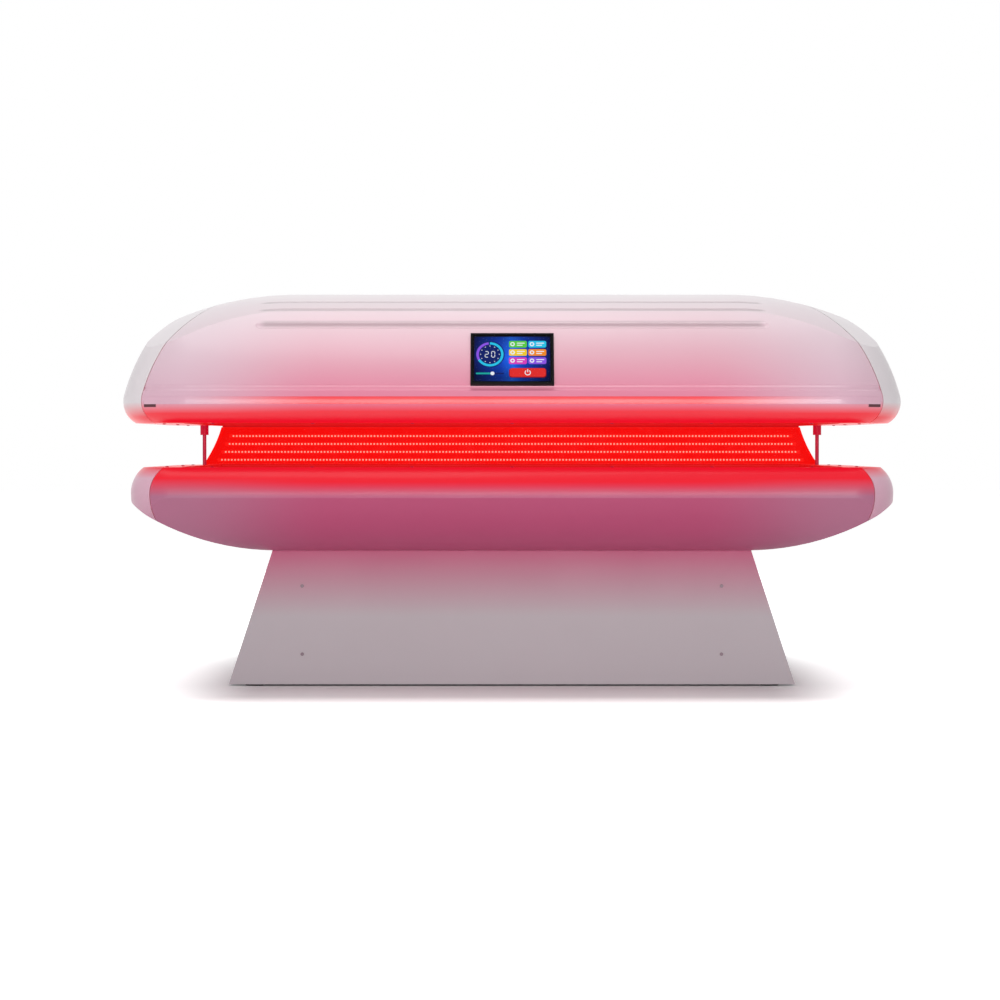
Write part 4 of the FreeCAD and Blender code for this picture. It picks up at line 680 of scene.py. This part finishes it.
MM = 0.001
SCREEN_COLOURS = {
    "white": (238, 242, 250), "cyan": (40, 196, 236), "navy": (14, 32, 104), "green": (92, 206, 70),
    "yellow": (246, 206, 44), "magenta": (220, 66, 190), "violet": (140, 86, 232), "orange": (246, 140, 40),
    "teal": (30, 170, 160), "red": (228, 46, 44), "dark_red": (130, 14, 20),
}


def screen_colour(name, colour):
    finish = Finish(f"screen_{name}", tuple(c * 0.15 for c in linear(*colour)[:3]) + (1,), 0.4)
    finish.shader.inputs["Specular IOR Level"].default_value = 0.05
    return finish.mottle(220, 0.2).glow(linear(*colour), 0.85).material


class Screen:
    """Gathers flat plates in millimetres from the middle of the display, then makes one piece of them."""

    LAYER = 0.0003

    def __init__(self):
        display = np.array(solids_of("screen_display")[0])
        glass = np.array(solids_of("screen_glass")[0])
        self.out = (Vector(glass.mean(axis=0)) - Vector(display.mean(axis=0))).normalized()
        self.across = Vector((1, 0, 0))
        self.up = self.out.cross(self.across)
        middle = Vector(display.mean(axis=0))
        face = (display @ np.array(self.out)).max()
        self.middle = middle + self.out * (face - middle.dot(self.out))
        self.points, self.faces, self.colours = [], [], []

    def plate(self, outline, colour, layer=1):
        """A closed thin plate from the display's face up to its layer."""
        count, start = len(outline), len(self.points)
        for height in (0, layer * self.LAYER):
            for x, y in outline:
                place = self.middle + self.across * (x * MM) + self.up * (y * MM) + self.out * height
                self.points.append(tuple(place))
        faces = [tuple(start + count + i for i in range(count)), tuple(start + i for i in range(count))[::-1]]
        faces += [(start + i, start + (i + 1) % count, start + count + (i + 1) % count, start + count + i)
                  for i in range(count)]
        self.faces += faces
        self.colours += [colour] * len(faces)

    def block(self, x, y, wide, tall, radius, colour, layer=1):
        """A plate with rounded corners about a middle."""
        path = rounded_path((x - wide / 2, y - tall / 2), (x + wide / 2, y + tall / 2), radius, 4)
        self.plate([point for point, _ in path], colour, layer)

    def disc(self, x, y, radius, colour, layer=1, sides=28):
        steps = [2 * math.pi * i / sides for i in range(sides)]
        self.plate([(x + radius * math.cos(a), y + radius * math.sin(a)) for a in steps], colour, layer)

    def arc(self, x, y, inner, outer, start, end, colour, layer=1, step=6):
        """A run of short plates along a ring, from one angle to another in degrees."""
        count = max(1, round(abs(end - start) / step))
        angles = [math.radians(start + (end - start) * i / count) for i in range(count + 1)]
        for a, b in zip(angles, angles[1:]):
            corners = [(inner, a), (outer, a), (outer, b), (inner, b)]
            outline = [(x + r * math.cos(angle), y + r * math.sin(angle)) for r, angle in corners]
            self.plate(outline if end > start else outline[::-1], colour, layer)

    def digit(self, x, y, size, bars, colour, layer):
        """A seven-bar figure: the bars named are lit."""
        spots = {"top": (0, 1, True), "middle": (0, 0, True), "bottom": (0, -1, True),
                 "top_left": (-1, 0.5, False), "top_right": (1, 0.5, False),
                 "low_left": (-1, -0.5, False), "low_right": (1, -0.5, False)}
        for bar in bars:
            across, up, level = spots[bar]
            wide, tall = (size * 0.8, size * 0.2) if level else (size * 0.2, size * 0.8)
            self.block(x + across * size / 2, y + up * size, wide, tall, size * 0.09, colour, layer)

    def make(self):
        names = sorted(set(self.colours))
        piece = add_piece("screen_graphics", self.points, self.faces, "screen_blue", "canopy", smooth=False)
        mesh = piece.data
        mesh.materials.clear()
        for name in names:
            mesh.materials.append(screen_colour(name, SCREEN_COLOURS[name]))
        for polygon, colour in zip(mesh.polygons, self.colours):
            polygon.material_index = names.index(colour)


screen = Screen()
DIAL = (-62, 14)
screen.disc(*DIAL, 41, "navy")
screen.arc(*DIAL, 31, 38, 90, -150, "cyan", 2)
screen.arc(*DIAL, 31, 38, 210, 96, "violet", 2)
for tick in range(12):
    angle = math.radians(30 * tick)
    screen.disc(DIAL[0] + 26 * math.cos(angle), DIAL[1] + 26 * math.sin(angle), 1.3, "white", 2, 8)
screen.digit(DIAL[0] - 9, DIAL[1], 9, ("top", "top_right", "middle", "low_left", "bottom"), "white", 2)
screen.digit(DIAL[0] + 9, DIAL[1], 9, ("top", "top_left", "top_right", "low_left", "low_right", "bottom"),
             "white", 2)
TILES = (("green", 46), ("yellow", 20), ("magenta", -6)), (("cyan", 46), ("orange", 20), ("violet", -6))
for column, tiles in enumerate(TILES):
    x = 16 + 54 * column
    for shape, (colour, y) in enumerate(tiles):
        screen.block(x, y, 50, 21, 5, colour)
        screen.disc(x - 15, y, 6.5, "white", 2, 20)
        screen.disc(x - 15, y, 3.6, colour, 3, 6 - shape)
        screen.block(x + 8, y + 3.2, 22, 2.6, 1.2, "white", 2)
        screen.block(x + 5, y - 3.4, 16, 2.6, 1.2, "white", 2)
screen.block(-62, -46, 78, 5, 2.4, "navy")
screen.block(-78, -46, 46, 5, 2.4, "teal", 2)
screen.disc(-55, -46, 5.5, "white", 3, 24)
screen.block(43, -44, 104, 30, 8, "dark_red")
screen.block(43, -43, 100, 27, 7, "red", 2)
screen.arc(43, -43.5, 6.2, 8.6, 125, 415, "white", 3)
screen.block(43, -37.5, 2.6, 10, 1.2, "white", 3)
screen.make()
